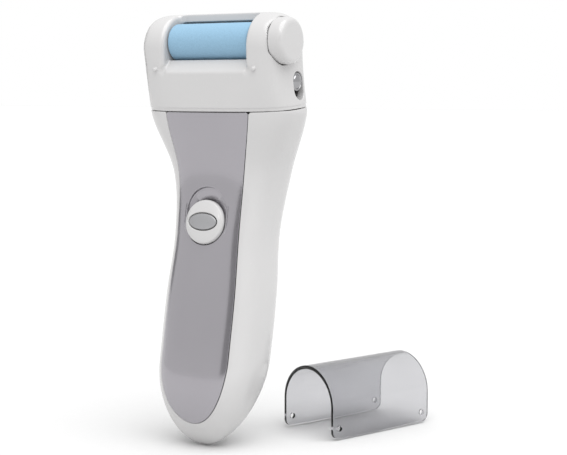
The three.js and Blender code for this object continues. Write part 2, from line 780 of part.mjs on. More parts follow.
/** The hollow spaces inside the head: between the arms, around the motor, the gears and the latch. */
function headHollows() {
  const span = [-middleHalfWidth, middleHalfWidth];
  const gearSide = -openingHalfWidth - armInnerWall;
  return [
    headForm(2).intersect(box(...span, -beyond, beyond, seamHeight - 2, 147)),
    rodX(motorPocketRadius, ...span, motorAxis, 32),
    prismX(archOutline(gearCavityRadius, gearCavityBottom), -beyond, gearSide),
    box(...latchCavity.x, ...latchCavity.y, seamHeight - 2, latchCavity.top),
  ];
}

/** The holes through the wall between the roller and the gears, and up into the head from its screws. */
function headHoles() {
  const wall = [-30, -10];
  const screwHoles = [-1, 1].flatMap((side) => [
    rodX(0.95, ...wall, motorScrewPlace(side), 12),
    rodZ(1.05, seamHeight - 1, seamHeight + 3.2, side * headScrewX, headScrewY, 12),
  ]);
  return [
    rodX(3.05, ...wall, rollerAxis, 24),
    rodX(gearAxleRadius + boreClearance, wall[0], -20.85, compoundAxis, 16),
    rodX(3.3, ...wall, motorAxis, 24),
    ...screwHoles,
  ];
}

/** The release button's slot in the head's side, and the slot behind it where the latch's finger slides. */
function releaseSlots() {
  const { y, z } = releaseCentre;
  const outline = slotOutline(releaseRadius + releaseSlotClearance, y, z - releaseTravel, z);
  return [prismX(outline, 26, beyond), box(25.9, 28.1, -5, 3, z, z + 10)];
}

/** One of the small round nubs that the cap clips over, on the front or the back of an arm. */
function capNub(side, facing) {
  const face = archCentre.y + facing * archRadius;
  const ends = [face - facing, face + facing * 0.5].sort((a, b) => a - b);
  return rodY(nubRadius, ...ends, side * nubSpacing, nubHeight, 12);
}

function addHeadHousing() {
  let head = headForm(0);
  headHollows().forEach((hollow) => (head = head.subtract(hollow)));
  coverScrews.forEach((place) => {
    head = head.add(rodX(2.2, coverInside + gap, -openingHalfWidth - 1, place, 16));
  });
  head = head.subtract(prismX(coverOutline(gap), -beyond, coverInside + gap));
  coverScrews.forEach((place) => {
    head = head.subtract(rodX(1.05, -40, -22.5, place, 12));
  });
  head = head.subtract(rollerOpening());
  head = head.subtract(rodX(plugRadius + 0.4, openingHalfWidth - 1, beyond, rollerAxis, 48));
  head = head.subtract(rodX(knobRadius + 0.4, knobSeat, beyond, rollerAxis, 48));
  [...headHoles(), ...releaseSlots()].forEach((hole) => (head = head.subtract(hole)));
  head = head.subtract(belowSeam(gap / 2));
  [-1, 1].forEach((side) => {
    head = head.add(capNub(side, -1)).add(capNub(side, 1));
  });
  piece("head_housing", head, white);
}

function addGearCover() {
  const screwFloor = -31.2;
  let cover = headForm(0).intersect(prismX(coverOutline(0), -beyond, coverInside));
  cover = cover.subtract(rodX(gearAxleRadius + boreClearance, -30.95, -20, compoundAxis, 16));
  coverScrews.forEach((place, i) => {
    cover = cover.subtract(rodX(1.1, -beyond, -20, place, 12));
    cover = cover.subtract(rodX(2.1, -beyond, screwFloor, place, 16));
    const shank = rodX(0.9, screwFloor - gap, -24, place, 12);
    const screw = rodX(1.8, screwFloor - 0.9, screwFloor - 0.2, place, 16).add(shank);
    piece("gear_cover_screw_" + (i + 1), screw, steel);
  });
  piece("gear_cover", cover, white);
}

function addHeadScrews() {
  ["left", "right"].forEach((name, i) => {
    const x = (i === 0 ? -1 : 1) * headScrewX;
    const headTop = screwLug.bottom - gap;
    const shank = rodZ(0.9, headTop - 0.4, seamHeight + 3, x, headScrewY, 12);
    const screw = rodZ(2.1, headTop - 1.5, headTop, x, headScrewY, 16).add(shank);
    piece("head_screw_" + name, screw, steel);
  });
}

// ---------------------------------------------------------------- release

function addRelease() {
  const { y, z } = releaseCentre;
  const front = 33.2;
  const back = 28.3;
  const neck = { x: 30.2, radius: 2.4 };
  const button = turnedX(
    [
      [back, 0],
      [back, neck.radius],
      [neck.x, neck.radius],
      [neck.x, releaseRadius],
      [front - 1.8, releaseRadius],
      [front - 0.9, 3.1],
      [front - 0.25, 1.8],
      [front, 0],
    ],
    releaseCentre,
    28,
  );
  piece("release_button", button, chrome);

  const sheet = [26.2, back - gap];
  const footBottom = z - 5.2;
  const plate = box(...sheet, y - 4, y + 4, footBottom, z + 3.5);
  const finger = box(...sheet, -1.6, y, z + 1, 155.5);
  const tooth = box(...sheet, -1.6, 1.6, 154, 157.6);
  const foot = box(24, sheet[1], y - 4, y + 4, footBottom, footBottom + 1.2);
  piece("latch_plate", plate.add(finger).add(tooth).add(foot), darkPlastic);

  const retainerBottom = seamHeight + 1.2;
  const retainerTop = retainerBottom + 1.2;
  const [frontSide, backSide] = latchCavity.y;
  const retainer = box(23.6, 29.4, frontSide + 0.4, backSide - 0.4, retainerBottom, retainerTop);
  piece("latch_retainer", retainer, darkPlastic);
  piece("release_spring", coil(26, y, retainerTop + 0.1, footBottom - 0.1, 1.7, 1.7, 0.25, 3), steel);
}

// ---------------------------------------------------------------- roller cartridge

function addCartridge() {
  const inner = rollerRadius - sleeveThickness;
  const half = rollerHalfLength;
  const bevel = 0.3;
  const sleeve = turnedX(
    [
      [-half, inner],
      [-half, rollerRadius - bevel],
      [-half + bevel, rollerRadius],
      [half - bevel, rollerRadius],
      [half, rollerRadius - bevel],
      [half, inner],
      [-half, inner],
    ],
    rollerAxis,
    48,
  );
  piece("roller_sleeve", sleeve, abrasive);

  const coreEnd = half - 0.2;
  const axleBore = axleRadius + boreClearance;
  const core = rodX(inner - 0.1, -coreEnd, coreEnd, rollerAxis, 48)
    .subtract(rodX(3.1, -beyond, -15.6, rollerAxis, 6))
    .subtract(rodX(axleBore, -11, beyond, rollerAxis, 24));
  piece("roller_core", core, acetal);
  piece("roller_axle", rodX(axleRadius, -10.5, 28, rollerAxis, 24), steel);

  const plug = { start: 20.6, grooveStart: 25.6, grooveEnd: 28.4, grooveRadius: 6.8 };
  const boreEnd = 28.3;
  const knob = turnedX(
    [
      [plug.start, axleBore],
      [plug.start, plugRadius],
      [plug.grooveStart, plugRadius],
      [plug.grooveStart, plug.grooveRadius],
      [plug.grooveEnd, plug.grooveRadius],
      [plug.grooveEnd, plugRadius],
      [knobSeat + gap, plugRadius],
      [knobSeat + gap, knobRadius],
      [knobFace - 2, knobRadius],
      [knobFace - 1, knobRadius - 0.3],
      [knobFace - 0.3, knobRadius - 1.1],
      [knobFace, knobRadius - 2.2],
      [knobFace, 0],
      [boreEnd, 0],
      [boreEnd, axleBore],
      [plug.start, axleBore],
    ],
    rollerAxis,
    48,
  );
  piece("end_knob", knob, white);
}

// ---------------------------------------------------------------- wires

function addWires() {
  const wireRadius = 0.7;
  [["wire_motor_red", 1, redWire], ["wire_motor_black", -1, blackWire]].forEach(([name, side, material]) => {
    const y = motorAxis.y + side * 4.5;
    const x = motorRange[1] + 6.6;
    const route = [
      [side * 7, 3.2, 114],
      [side * 7 + 4, 4 + side, 122],
      [15.5, y, 133],
      [x + 2, y, motorAxis.z - 5],
      [x, y, motorAxis.z],
    ];
    piece(name, tube(route, wireRadius, 8, 18), material);
  });
  [["wire_cell_red", -1, redWire], ["wire_cell_black", 1, blackWire]].forEach(([name, side, material]) => {
    const route = [
      [side * 12, 9.5, 95.5],
      [side * 12.5, 8, 100],
      [side * 11, 4.5, 107],
      [side * 9.6, 1.6, 112],
    ];
    piece(name, tube(route, wireRadius, 8, 12), material);
  });
}

// ---------------------------------------------------------------- cap

/** The cap in its own frame: a tunnel along X, standing on its two long edges. */
function addCap() {
  const outer = capInnerRadius + capThickness;
  const springLine = capHeight - outer;
  const half = capLength / 2;
  const tunnel = (radius, bottom) => {
    const outline = new THREE.Shape();
    outline.moveTo(-radius, bottom);
    outline.lineTo(radius, bottom);
    outline.absarc(0, springLine, radius, 0, Math.PI);
    return outline;
  };
  const side = roundedRectangle(-half, half, 0, capHeight + 20, capCornerRadius);
  let cap = prismX(tunnel(outer, 0), -half, half)
    .intersect(prismY(side, -40, 40))
    .subtract(prismX(tunnel(capInnerRadius, -1), -half - 1, half + 1));
  [-1, 1].forEach((end) => {
    cap = cap.subtract(rodY(capHoleRadius, -40, 40, end * nubSpacing, capHoleHeight, 12));
  });
  const frame = new THREE.Group();
  frame.position.set(capPlace.x, capPlace.y, 0);
  frame.rotation.z = THREE.MathUtils.degToRad(capPlace.yaw);
  device.add(frame);
  piece("protective_cap", cap, smoke, frame);
}

addHandleShell();
addFrontPanel();
addBatteryCover();
addSwitch();
addBatteryBay();
addHeadHousing();
addGearCover();
addHeadScrews();
addGears();
addMotor();
addRelease();
addCartridge();
addWires();
addCap();

const part = new THREE.Group();
part.add(device);

export default part;
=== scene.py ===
"""Looks of the electric callus remover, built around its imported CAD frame.

Shapes are worked out in millimetres in the device's own axes: Z is the height above the handle's rounded end,
X points to the roller's knob and -Y to the front panel. row() turns them into the row frame, in metres.
"""

import json
import math

import bpy
import numpy as np
from mathutils import Matrix, Vector


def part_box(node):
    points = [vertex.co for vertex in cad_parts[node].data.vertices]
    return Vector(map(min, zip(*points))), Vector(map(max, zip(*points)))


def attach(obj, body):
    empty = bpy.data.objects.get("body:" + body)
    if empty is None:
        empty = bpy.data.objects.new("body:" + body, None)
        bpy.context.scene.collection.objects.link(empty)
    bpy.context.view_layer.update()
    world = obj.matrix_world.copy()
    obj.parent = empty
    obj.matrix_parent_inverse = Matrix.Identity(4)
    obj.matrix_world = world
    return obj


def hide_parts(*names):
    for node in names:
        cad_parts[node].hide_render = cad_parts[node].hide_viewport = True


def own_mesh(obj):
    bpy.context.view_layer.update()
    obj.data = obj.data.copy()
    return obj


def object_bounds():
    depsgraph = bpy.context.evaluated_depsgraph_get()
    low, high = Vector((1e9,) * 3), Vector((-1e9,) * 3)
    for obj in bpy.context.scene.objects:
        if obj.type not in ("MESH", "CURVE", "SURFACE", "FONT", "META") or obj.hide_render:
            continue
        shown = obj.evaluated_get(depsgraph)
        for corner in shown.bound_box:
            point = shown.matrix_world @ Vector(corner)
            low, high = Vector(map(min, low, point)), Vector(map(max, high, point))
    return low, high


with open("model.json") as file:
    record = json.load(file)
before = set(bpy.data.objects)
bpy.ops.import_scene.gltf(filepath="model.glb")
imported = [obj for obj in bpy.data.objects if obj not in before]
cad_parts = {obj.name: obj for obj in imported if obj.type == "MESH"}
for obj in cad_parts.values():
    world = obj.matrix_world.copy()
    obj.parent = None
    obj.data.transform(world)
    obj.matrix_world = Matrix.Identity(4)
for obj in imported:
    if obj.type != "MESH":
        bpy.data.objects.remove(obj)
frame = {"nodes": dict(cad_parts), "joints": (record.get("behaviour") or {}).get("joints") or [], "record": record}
cad_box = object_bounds()
joints = {joint["name"]: joint for joint in frame["joints"]}

MM = 0.001
TURN = 2 * math.pi

# ---------------------------------------------------------------- driving dimensions, in millimetres
HEIGHT = 178
SEAM = 137.6  # at the front
SEAM_SLOPE = 0.08  # the seam rises towards the back
SEAM_GAP = 0.12  # on each side of the seam
GAP = 0.3  # between pieces that part or move

# The handle's sections, every STATION_STEP from STATION_START.
STATION_START = -12.4
STATION_STEP = 25
HALF_WIDTHS = (20.8, 21.2, 22.0, 22.1, 20.9, 24.4, 34.8)
CENTRES = (-17.4, -11.7, -6.0, -1.2, 3.4, 7.4, 4.0)
HALF_DEPTHS = (17.4, 18.0, 18.5, 18.2, 17.8, 18.4, 17.4)
END_ROUND = 34  # the rounded end reaches up to here
HANDLE_POWER = 3  # squareness of the handle's sections
SHELL_WALL = 2.4

# The front panel narrows to a rounded tip below PANEL_ROUND_TOP.
PANEL_WALL = 1.4
PANEL_HALF_WIDTHS = (16.4, 16.3, 15.3, 16.2, 20.3)
PANEL_ROUND_TOP = 37.6
PANEL_TIP = 10.4
PANEL_GAP = 0.06
PANEL_SIDE = -8  # the panel and its seam stay in front of this Y

# The battery cover at the back, with a finger scoop near its top.
COVER_WALL = 2.0
COVER_GAP = 0.25
COVER_HALF_WIDTH = 15.4
COVER_LOW = 40
COVER_HIGH = 97
COVER_CORNER = 5
SCOOP_HEIGHT = 91
SCOOP_CENTRE_Y = 32.2
SCOOP_RADIUS = 9
SCOOP_HALF_WIDTH = 6

# The head: two arms with arched sides, and the roller's opening between them.
ARM_HALF_WIDTH = 32.2
ARM_POWER = 9
ARCH_RADIUS = 14.4
ARCH_Y = -0.2
ARCH_Z = HEIGHT - ARCH_RADIUS
ROLLER_Y = -4.2
ROLLER_Z = 166.2
ROLLER_RADIUS = 7.7
ROLLER_HALF = 19.6
OPENING_HALF = 20.15
CRADLE_RADIUS = 9.2
BAR_FRONT = -0.8
POCKET_Y = -1.5  # the deeper hollow under the bar, behind the roller
POCKET_RADIUS = 8.7
LEDGE_FRONT = (-14.6, 153.3)
LEDGE_BACK_Z = 158.9
NUB_X = 24.2
NUB_Z = 155
NUB_RADIUS = 0.95

# The cartridge's knob, the motor, the release button and the gears' space behind the left arm's cover.
PLUG_RADIUS = 8.1
KNOB_RADIUS = 9.4
KNOB_SEAT = 30.1
KNOB_FACE = 36.8
MOTOR_Y = 3.4
MOTOR_Z = 145.6
RELEASE_Y = 6.5
RELEASE_Z = 150
RELEASE_RADIUS = 3.8
RELEASE_TRAVEL = 3.3
RELEASE_FRONT = 33.2
GEAR_CAVITY = 11.4
GEAR_FLOOR = 141.9
GEAR_SLANT = (7.6, 16.1)  # depth and height of the slanted front of the gears' space
GEAR_COVER_INSIDE = -30
GEAR_COVER_SCREWS = ((9.2, 149.3), (5.6, 171.6))

# The switch, in its recess on the panel.
SWITCH_HEIGHT = 92.7
SWITCH_RADIUS = 9.2
SWITCH_TRAVEL = 5
RECESS_RADIUS = 9.55
RECESS_DEPTH = 1.3
SWITCH_FACE = -1.6  # how proud the switch's face stands, along its frame's Y
POCKET_OVAL = (7.1, 3.8)  # half sizes of the insert's pocket
INSERT_OVAL = (6.6, 3.3)  # half sizes of the insert
STEM_HALF = 2.2
STEM_HOLE_HALF = 2.5

# The cap, which stands beside the device.
CAP_LENGTH = 56
CAP_HEIGHT = 29.5
CAP_WALL = 1.5
CAP_RADIUS = ARCH_RADIUS + GAP + CAP_WALL
CAP_YAW = 70.6
CAP_HOLE_HEIGHT = 4.6
CAP_HOLE_RADIUS = 1.2

OUTSIDE = -50  # the distance given where a point can't belong to a piece

roller_axis = Vector(joints["roller_spin"]["pos_m"]) / MM
ORIGIN = np.array(roller_axis) - (0, ROLLER_Y, ROLLER_Z)


def row(points):
    """Points of the device, in millimetres, as points of the row frame, in metres."""
    return (np.asarray(points, float) + ORIGIN) * MM


# ---------------------------------------------------------------- sections and distances
def ease(value, start, end):
    """From 0 at start to 1 at end, with level ends."""
    t = np.clip((value - start) / (end - start), 0, 1)
    return t * t * (3 - 2 * t)


def through(values, t):
    """A smooth curve through evenly spaced values, at t counted in spacings."""
    values = np.array(values, float)
    last = len(values) - 1
    i = np.clip(np.floor(t).astype(int), 0, last - 1)
    w = np.clip(t, 0, last) - i
    before = values[np.maximum(i - 1, 0)]
    here, after = values[i], values[i + 1]
    beyond = values[np.minimum(i + 2, last)]
    start, end = (after - before) / 2, (beyond - here) / 2
    cubic = (2 * here - 2 * after + start + end) * w**3
    return cubic + (-3 * here + 3 * after - 2 * start - end) * w**2 + start * w + here


def handle_section(z):
    """Half width, centre and half depth of the handle at a height."""
    z = np.asarray(z, float)
    t = (z - STATION_START) / STATION_STEP
    below = np.clip((END_ROUND - z) / END_ROUND, 0, 1)
    rounding = np.sqrt(1 - below**2)
    half_width, half_depth = through(HALF_WIDTHS, t) * rounding, through(HALF_DEPTHS, t) * rounding**1.5
    return half_width, through(CENTRES, t), half_depth


def head_section(z):
    """Half width, centre, half depth and squareness of the head at a height."""
    seam_width, seam_centre, seam_depth = (float(v) for v in handle_section(SEAM))
    rise = np.clip((z - SEAM) / (ARCH_Z - SEAM), 0, 1)
    fall = 1 - rise
    lean = 1 - fall**1.25
    seam_front, seam_back = seam_centre - seam_depth, seam_centre + seam_depth
    front = seam_front + (ARCH_Y - ARCH_RADIUS - seam_front) * lean
    back = seam_back + (ARCH_Y + ARCH_RADIUS - seam_back) * lean
    half_width = ARM_HALF_WIDTH + (seam_width - ARM_HALF_WIDTH) * fall**2
    power = HANDLE_POWER * (ARM_POWER / HANDLE_POWER) ** rise
    return half_width, (front + back) / 2, (back - front) / 2, power


def body_surface(angle, z):
    """The outer surface of handle and head; angle 0 is +X and -90 degrees is the front."""
    lower = (*handle_section(z), HANDLE_POWER)
    sections = [np.where(z > SEAM, high, low) for high, low in zip(head_section(z), lower)]
    half_width, centre, half_depth, power = sections
    across = np.abs(np.cos(angle)) / np.maximum(half_width, 1e-6)
    deep = np.abs(np.sin(angle)) / np.maximum(half_depth, 1e-6)
    reach = (across**power + deep**power) ** (-1 / power)
    return np.stack([reach * np.cos(angle), centre + reach * np.sin(angle), z + 0 * angle], -1)


def front_at(z):
    """The Y of the handle's front at a height."""
    _, centre, half_depth = handle_section(z)
    return float(centre - half_depth)


def seam_at(y):
    """The height of the seam between handle and head, from front to back."""
    return SEAM + SEAM_SLOPE * (y - front_at(SEAM))


def cut(a, b, radius):
    """Inside both a and b, with a rounded edge where they meet. Distances are negative inside."""
    outside = np.hypot(np.maximum(a + radius, 0), np.maximum(b + radius, 0))
    return np.minimum(np.maximum(a, b), -radius) + outside


def melt(a, b, radius):
    """Inside a or b, with a soft fillet where they meet."""
    return -cut(-a, -b, radius)


def slot_distance(u, v, low, high, radius):
    """Distance to a slot with round ends that runs along v from low to high."""
    return np.hypot(u, v - np.clip(v, low, high)) - radius


def rectangle_distance(u, v, half_u, half_v, corner):
    """Distance to a rectangle with rounded corners, centred on zero."""
    du, dv = np.abs(u) - half_u + corner, np.abs(v) - half_v + corner
    outside = np.hypot(np.maximum(du, 0), np.maximum(dv, 0))
    return outside + np.minimum(np.maximum(du, dv), 0) - corner


# ---------------------------------------------------------------- meshes
def add_mesh(name, points, faces, body, slot, replaced):
    """A named mesh piece from points in the device's millimetres, in place of the CAD nodes in replaced."""
    mesh = bpy.data.meshes.new(name)
    mesh.from_pydata(row(points).tolist(), [], [tuple(int(i) for i in face) for face in faces])
    mesh.validate()
    obj = bpy.data.objects.new(name, mesh)
    bpy.context.scene.collection.objects.link(obj)
    mesh.shade_smooth()
    mesh.materials.append(finishes[slot])
    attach(obj, body)
    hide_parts(*replaced)
    return obj


def joined(*parts):
    """Several (points, faces) as one."""
    points, faces, start = [], [], 0
    for part_points, part_faces in parts:
        points.append(np.asarray(part_points, float))
        faces += [tuple(i + start for i in face) for face in part_faces]
        start += len(part_points)
    return np.concatenate(points), faces


def rounded(corners, radius, steps=5):
    """An open line of (u, v) corners with each inner corner rounded off. A third number is its own radius."""
    line = [tuple(corners[0][:2])]
    for before, corner, after in zip(corners, corners[1:], corners[2:]):
        here = np.array(corner[:2], float)
        own = corner[2] if len(corner) > 2 else radius
        to_before, to_after = np.array(before[:2]) - here, np.array(after[:2]) - here
        reach = min(own, np.linalg.norm(to_before) * 0.48, np.linalg.norm(to_after) * 0.48)
        start = here + to_before / np.linalg.norm(to_before) * reach
        end = here + to_after / np.linalg.norm(to_after) * reach
        for k in range(steps + 1):
            t = k / steps
            line.append(tuple(start * (1 - t) ** 2 + here * 2 * t * (1 - t) + end * t * t))
    line.append(tuple(corners[-1][:2]))
    return line


def turned(profile, y, z, segments=96, closed=False):
    """A body turned about an axis along X, from (x, radius) points.

    An open profile starts and ends on the axis, and a closed one goes round a bore.
    """
    angles = TURN * np.arange(segments) / segments
    ring = profile if closed else profile[1:-1]
    points = [(x, y + r * math.cos(a), z + r * math.sin(a)) for x, r in ring for a in angles]
    rows = len(ring)
    faces = []
    for i in range(rows if closed else rows - 1):
        for j in range(segments):
            k = (j + 1) % segments
            near, far = i * segments, (i + 1) % rows * segments
            faces.append((near + j, near + k, far + k, far + j))
    if not closed:
        first, last = len(points), len(points) + 1
        points += [(profile[0][0], y, z), (profile[-1][0], y, z)]
        end = (rows - 1) * segments
        for j in range(segments):
            k = (j + 1) % segments
            faces.append((first, k, j))
            faces.append((last, end + j, end + k))
    return np.array(points), faces


def stacked(rings, segments):
    """Rings of points joined into a closed body, whose first and last rings are single centre points."""
    points = [rings[0][0]] + [p for ring in rings[1:-1] for p in ring] + [rings[-1][0]]
    count = len(rings) - 2
    faces = [(0, 1 + (j + 1) % segments, 1 + j) for j in range(segments)]
    for i in range(count - 1):
        for j in range(segments):
            k = (j + 1) % segments
            near, far = 1 + i * segments, 1 + (i + 1) * segments
            faces.append((near + j, near + k, far + k, far + j))
    last, end = len(points) - 1, 1 + (count - 1) * segments
    faces += [(last, end + j, end + (j + 1) % segments) for j in range(segments)]
    return np.array(points, float), faces


def net(field, low, high, cell):
    """The surface where a distance field crosses zero, as (points, quads) that face out."""
    axes = [np.arange(a, b + cell, cell) for a, b in zip(low, high)]
    values = field(axes[0][:, None, None], axes[1][None, :, None], axes[2][None, None, :]).astype(np.float32)
    inside = values < 0
    corners = [(i, j, k) for i in (0, 1) for j in (0, 1) for k in (0, 1)]
    size = np.array(values.shape) - 1

    def shifted(array, offset):
        return array[tuple(slice(o, o + n) for o, n in zip(offset, size))]

    filled = sum(shifted(inside, c).astype(np.int8) for c in corners)
    cells = np.argwhere((filled > 0) & (filled < 8))
    number = np.full(size, -1, np.int64)
    number[tuple(cells.T)] = np.arange(len(cells))
    at = {c: values[tuple((cells + c).T)] for c in corners}
    total, count = np.zeros((len(cells), 3)), np.zeros(len(cells))
    for a in corners:
        for axis in range(3):
            if a[axis]:
                continue
            b = tuple(c + (n == axis) for n, c in enumerate(a))
            crossed = (at[a] < 0) != (at[b] < 0)
            t = np.where(crossed, at[a] / np.where(crossed, at[a] - at[b], 1), 0)
            place = np.array(a, float) + t[:, None] * (np.arange(3) == axis)
            total += place * crossed[:, None]
            count += crossed
    points = np.array([axis[0] for axis in axes]) + (cells + total / count[:, None]) * cell
    quads = []
    step = np.eye(3, dtype=int)
    for axis in range(3):
        u, v = (axis + 1) % 3, (axis + 2) % 3
        ahead, behind = [slice(None)] * 3, [slice(None)] * 3
        ahead[axis], behind[axis] = slice(1, None), slice(None, -1)
        one, two = inside[tuple(behind)], inside[tuple(ahead)]
        edges = np.argwhere(one != two)
        edges = edges[(edges[:, u] > 0) & (edges[:, v] > 0)]
        edges = edges[(edges[:, u] < size[u]) & (edges[:, v] < size[v])]
        outwards = one[tuple(edges.T)]
        around = [edges, edges - step[u], edges - step[u] - step[v], edges - step[v]]
        loop = np.stack([number[tuple(c.T)] for c in around], 1)
        quads.append(np.where(outwards[:, None], loop, loop[:, ::-1]))
    return settled(field, points, cell), np.concatenate(quads)


def settled(field, points, cell):
    """Points moved onto the field's zero surface."""
    reach = cell * 0.2
    for _ in range(3):
        x, y, z = points.T
        value = field(x, y, z)
        slope = np.stack(
            [
                field(x + reach, y, z) - field(x - reach, y, z),
                field(x, y + reach, z) - field(x, y - reach, z),
                field(x, y, z + reach) - field(x, y, z - reach),
            ],
            1,
        ) / (2 * reach)
        step = value / np.maximum((slope**2).sum(1), 0.2)
        points = points - np.clip(step, -cell / 3, cell / 3)[:, None] * slope
    return points


def unit(vectors):
    return vectors / np.maximum(np.linalg.norm(vectors, axis=1, keepdims=True), 1e-12)


def slopes(function, u, v, du, dv):
    """How a function of (u, v) changes along u and along v."""
    along_u = (function(u + du, v) - function(u - du, v)) / (2 * du)
    along_v = (function(u, v + dv) - function(u, v - dv)) / (2 * dv)
    return along_u, along_v


def grid_crossings(params, distance, cells, room, closed):
    """Where the grid's lines cross the edge, by their two vertices: the place and its share of the way."""
    crossings = {}
    signs = distance[cells] >= 0
    for cell in cells[signs.any(1) & ~signs.all(1)]:
        for pair in zip(cell, np.roll(cell, -1)):
            a, b = min(pair), max(pair)
            if (distance[a] >= 0) == (distance[b] >= 0) or (a, b) in crossings:
                continue
            start, end = params[a].copy(), params[b].copy()
            if closed and abs(start[0] - end[0]) > math.pi:
                end[0] += TURN if end[0] < start[0] else -TURN
            t = distance[a] / (distance[a] - distance[b])
            for _ in range(2):
                place = start + (end - start) * t
                slope = (distance[b] - distance[a]) or 1e-9
                t = float(np.clip(t - room(place[:1], place[1:])[0] / slope, 0.02, 0.98))
            crossings[(a, b)] = start + (end - start) * t, t
    return crossings


def trimmed(us, vs, room, closed):
    """The part of a grid of (u, v) where room isn't below 0: its points, faces, and their grid numbers.

    A grid vertex close to the edge moves onto it, and the remaining cells are cut where their lines cross it.
    """
    nu, nv = len(us), len(vs)
    params = np.stack(np.meshgrid(us, vs, indexing="ij"), -1).reshape(-1, 2)
    distance = room(*params.T)
    columns = nu if closed else nu - 1
    i, j = np.meshgrid(np.arange(columns), np.arange(nv - 1), indexing="ij")
    i, j = i.ravel(), j.ravel()
    following = (i + 1) % nu
    cells = np.stack([i * nv + j, following * nv + j, following * nv + j + 1, i * nv + j + 1], 1)
    crossings = grid_crossings(params, distance, cells, room, closed)
    moved = {}
    for (a, b), (place, t) in crossings.items():
        if min(t, 1 - t) < 0.3:
            moved.setdefault(a if t < 0.5 else b, place)
    for vertex, place in moved.items():
        params[vertex] = place
        distance[vertex] = 0
    points = list(params)
    made = {}

    def edge_vertex(a, b):
        key = (min(a, b), max(a, b))
        if key not in made:
            made[key] = len(points)
            points.append(crossings[key][0])
        return made[key]

    some, none_below = (distance[cells] > 0).any(1), (distance[cells] >= 0).all(1)
    faces = [tuple(cell) for cell in cells[none_below & some].tolist()]
    for cell in cells[some & ~none_below].tolist():
        face = []
        for a, b in zip(cell, cell[1:] + cell[:1]):
            if distance[a] >= 0:
                face.append(a)
            if distance[a] * distance[b] < 0:
                face.append(edge_vertex(a, b))
        if len(face) > 2:
            faces.append(tuple(face))
    used = sorted({v for face in faces for v in face})
    number = {v: n for n, v in enumerate(used)}
    faces = [tuple(number[v] for v in face) for face in faces]
    return np.array([points[v] for v in used]), faces, number


def border_edges(faces):
    """The edges that belong to one face only."""
    borders = {}
    for face in faces:
        for a, b in zip(face, face[1:] + face[:1]):
            if (b, a) in borders:
                del borders[(b, a)]
            else:
                borders[(a, b)] = True
    return list(borders)


def over_edge(surface, room, u, v, du, dv):
    """Directions along the surface that lead straight out over its edge."""
    along_u, along_v = slopes(surface, u, v, du, dv)
    reach = 20
    grow_u, grow_v = slopes(room, u, v, reach * du, reach * dv)
    uu, uv, vv = (along_u * along_u).sum(1), (along_u * along_v).sum(1), (along_v * along_v).sum(1)
    determinant = uu * vv - uv**2
    out = -(((vv * grow_u - uv * grow_v) / determinant)[:, None] * along_u)
    out -= ((uu * grow_v - uv * grow_u) / determinant)[:, None] * along_v
    return unit(out)


def sheet(surface, keep, us, vs, wall, roll, closed=False, pole=None):
    """A wall of even thickness over surface(u, v) where keep is over 0, with every edge rolled.

    keep is the distance to the edge, and roll is the edge's radius. The grid of us and vs reaches past the
    kept area, unless its first row of vs is closed by the point pole. With closed, us go once round.
    """

    def room(u, v):
        return keep(surface(u, v)) - roll

    uv, faces, number = trimmed(us, vs, room, closed)
    du, dv = 1e-4 * (us[-1] - us[0]), 1e-4 * (vs[-1] - vs[0])
    outer = surface(*uv.T)
    normal = unit(np.cross(*slopes(surface, *uv.T, du, dv)))
    if pole is not None:
        ring = [number[k * len(vs)] for k in range(len(us))]
        faces += [(len(outer), after, here) for here, after in zip(ring, ring[1:] + ring[:1])]
        outer = np.vstack([outer, pole])
        normal = np.vstack([normal, [0, 0, -1]])
        uv = np.vstack([uv, [0, 0]])
    borders = border_edges(faces)
    rim = sorted({v for edge in borders for v in edge})
    out = over_edge(surface, room, *uv[rim].T, du, dv)

    # The edge's profile, out and down from the outer surface, and then back in to the inner one.
    steps = 4
    arcs = [math.pi / 2 * k / steps for k in range(1, steps + 1)]
    profile = [(roll * math.sin(t), roll * (1 - math.cos(t))) for t in arcs]
    profile += [(side, wall - depth) for side, depth in reversed(profile)]
    shells = [outer, outer - normal * wall]
    shells += [outer[rim] + out * side - normal[rim] * depth for side, depth in profile]
    count = len(outer)
    body = list(faces) + [tuple(v + count for v in reversed(face)) for face in faces]
    index = {v: n for n, v in enumerate(rim)}
    starts = [2 * count + n * len(rim) for n in range(len(profile))]
    for a, b in borders:
        strip = [(a, b)] + [(s + index[a], s + index[b]) for s in starts] + [(a + count, b + count)]
        body += [(far[0], far[1], near[1], near[0]) for near, far in zip(strip, strip[1:])]
    return np.concatenate(shells), body


def even(start, end, spacing):
    """Evenly spaced values from start to end, about spacing apart."""
    return np.linspace(start, end, max(2, int(round(abs(end - start) / spacing)) + 1))


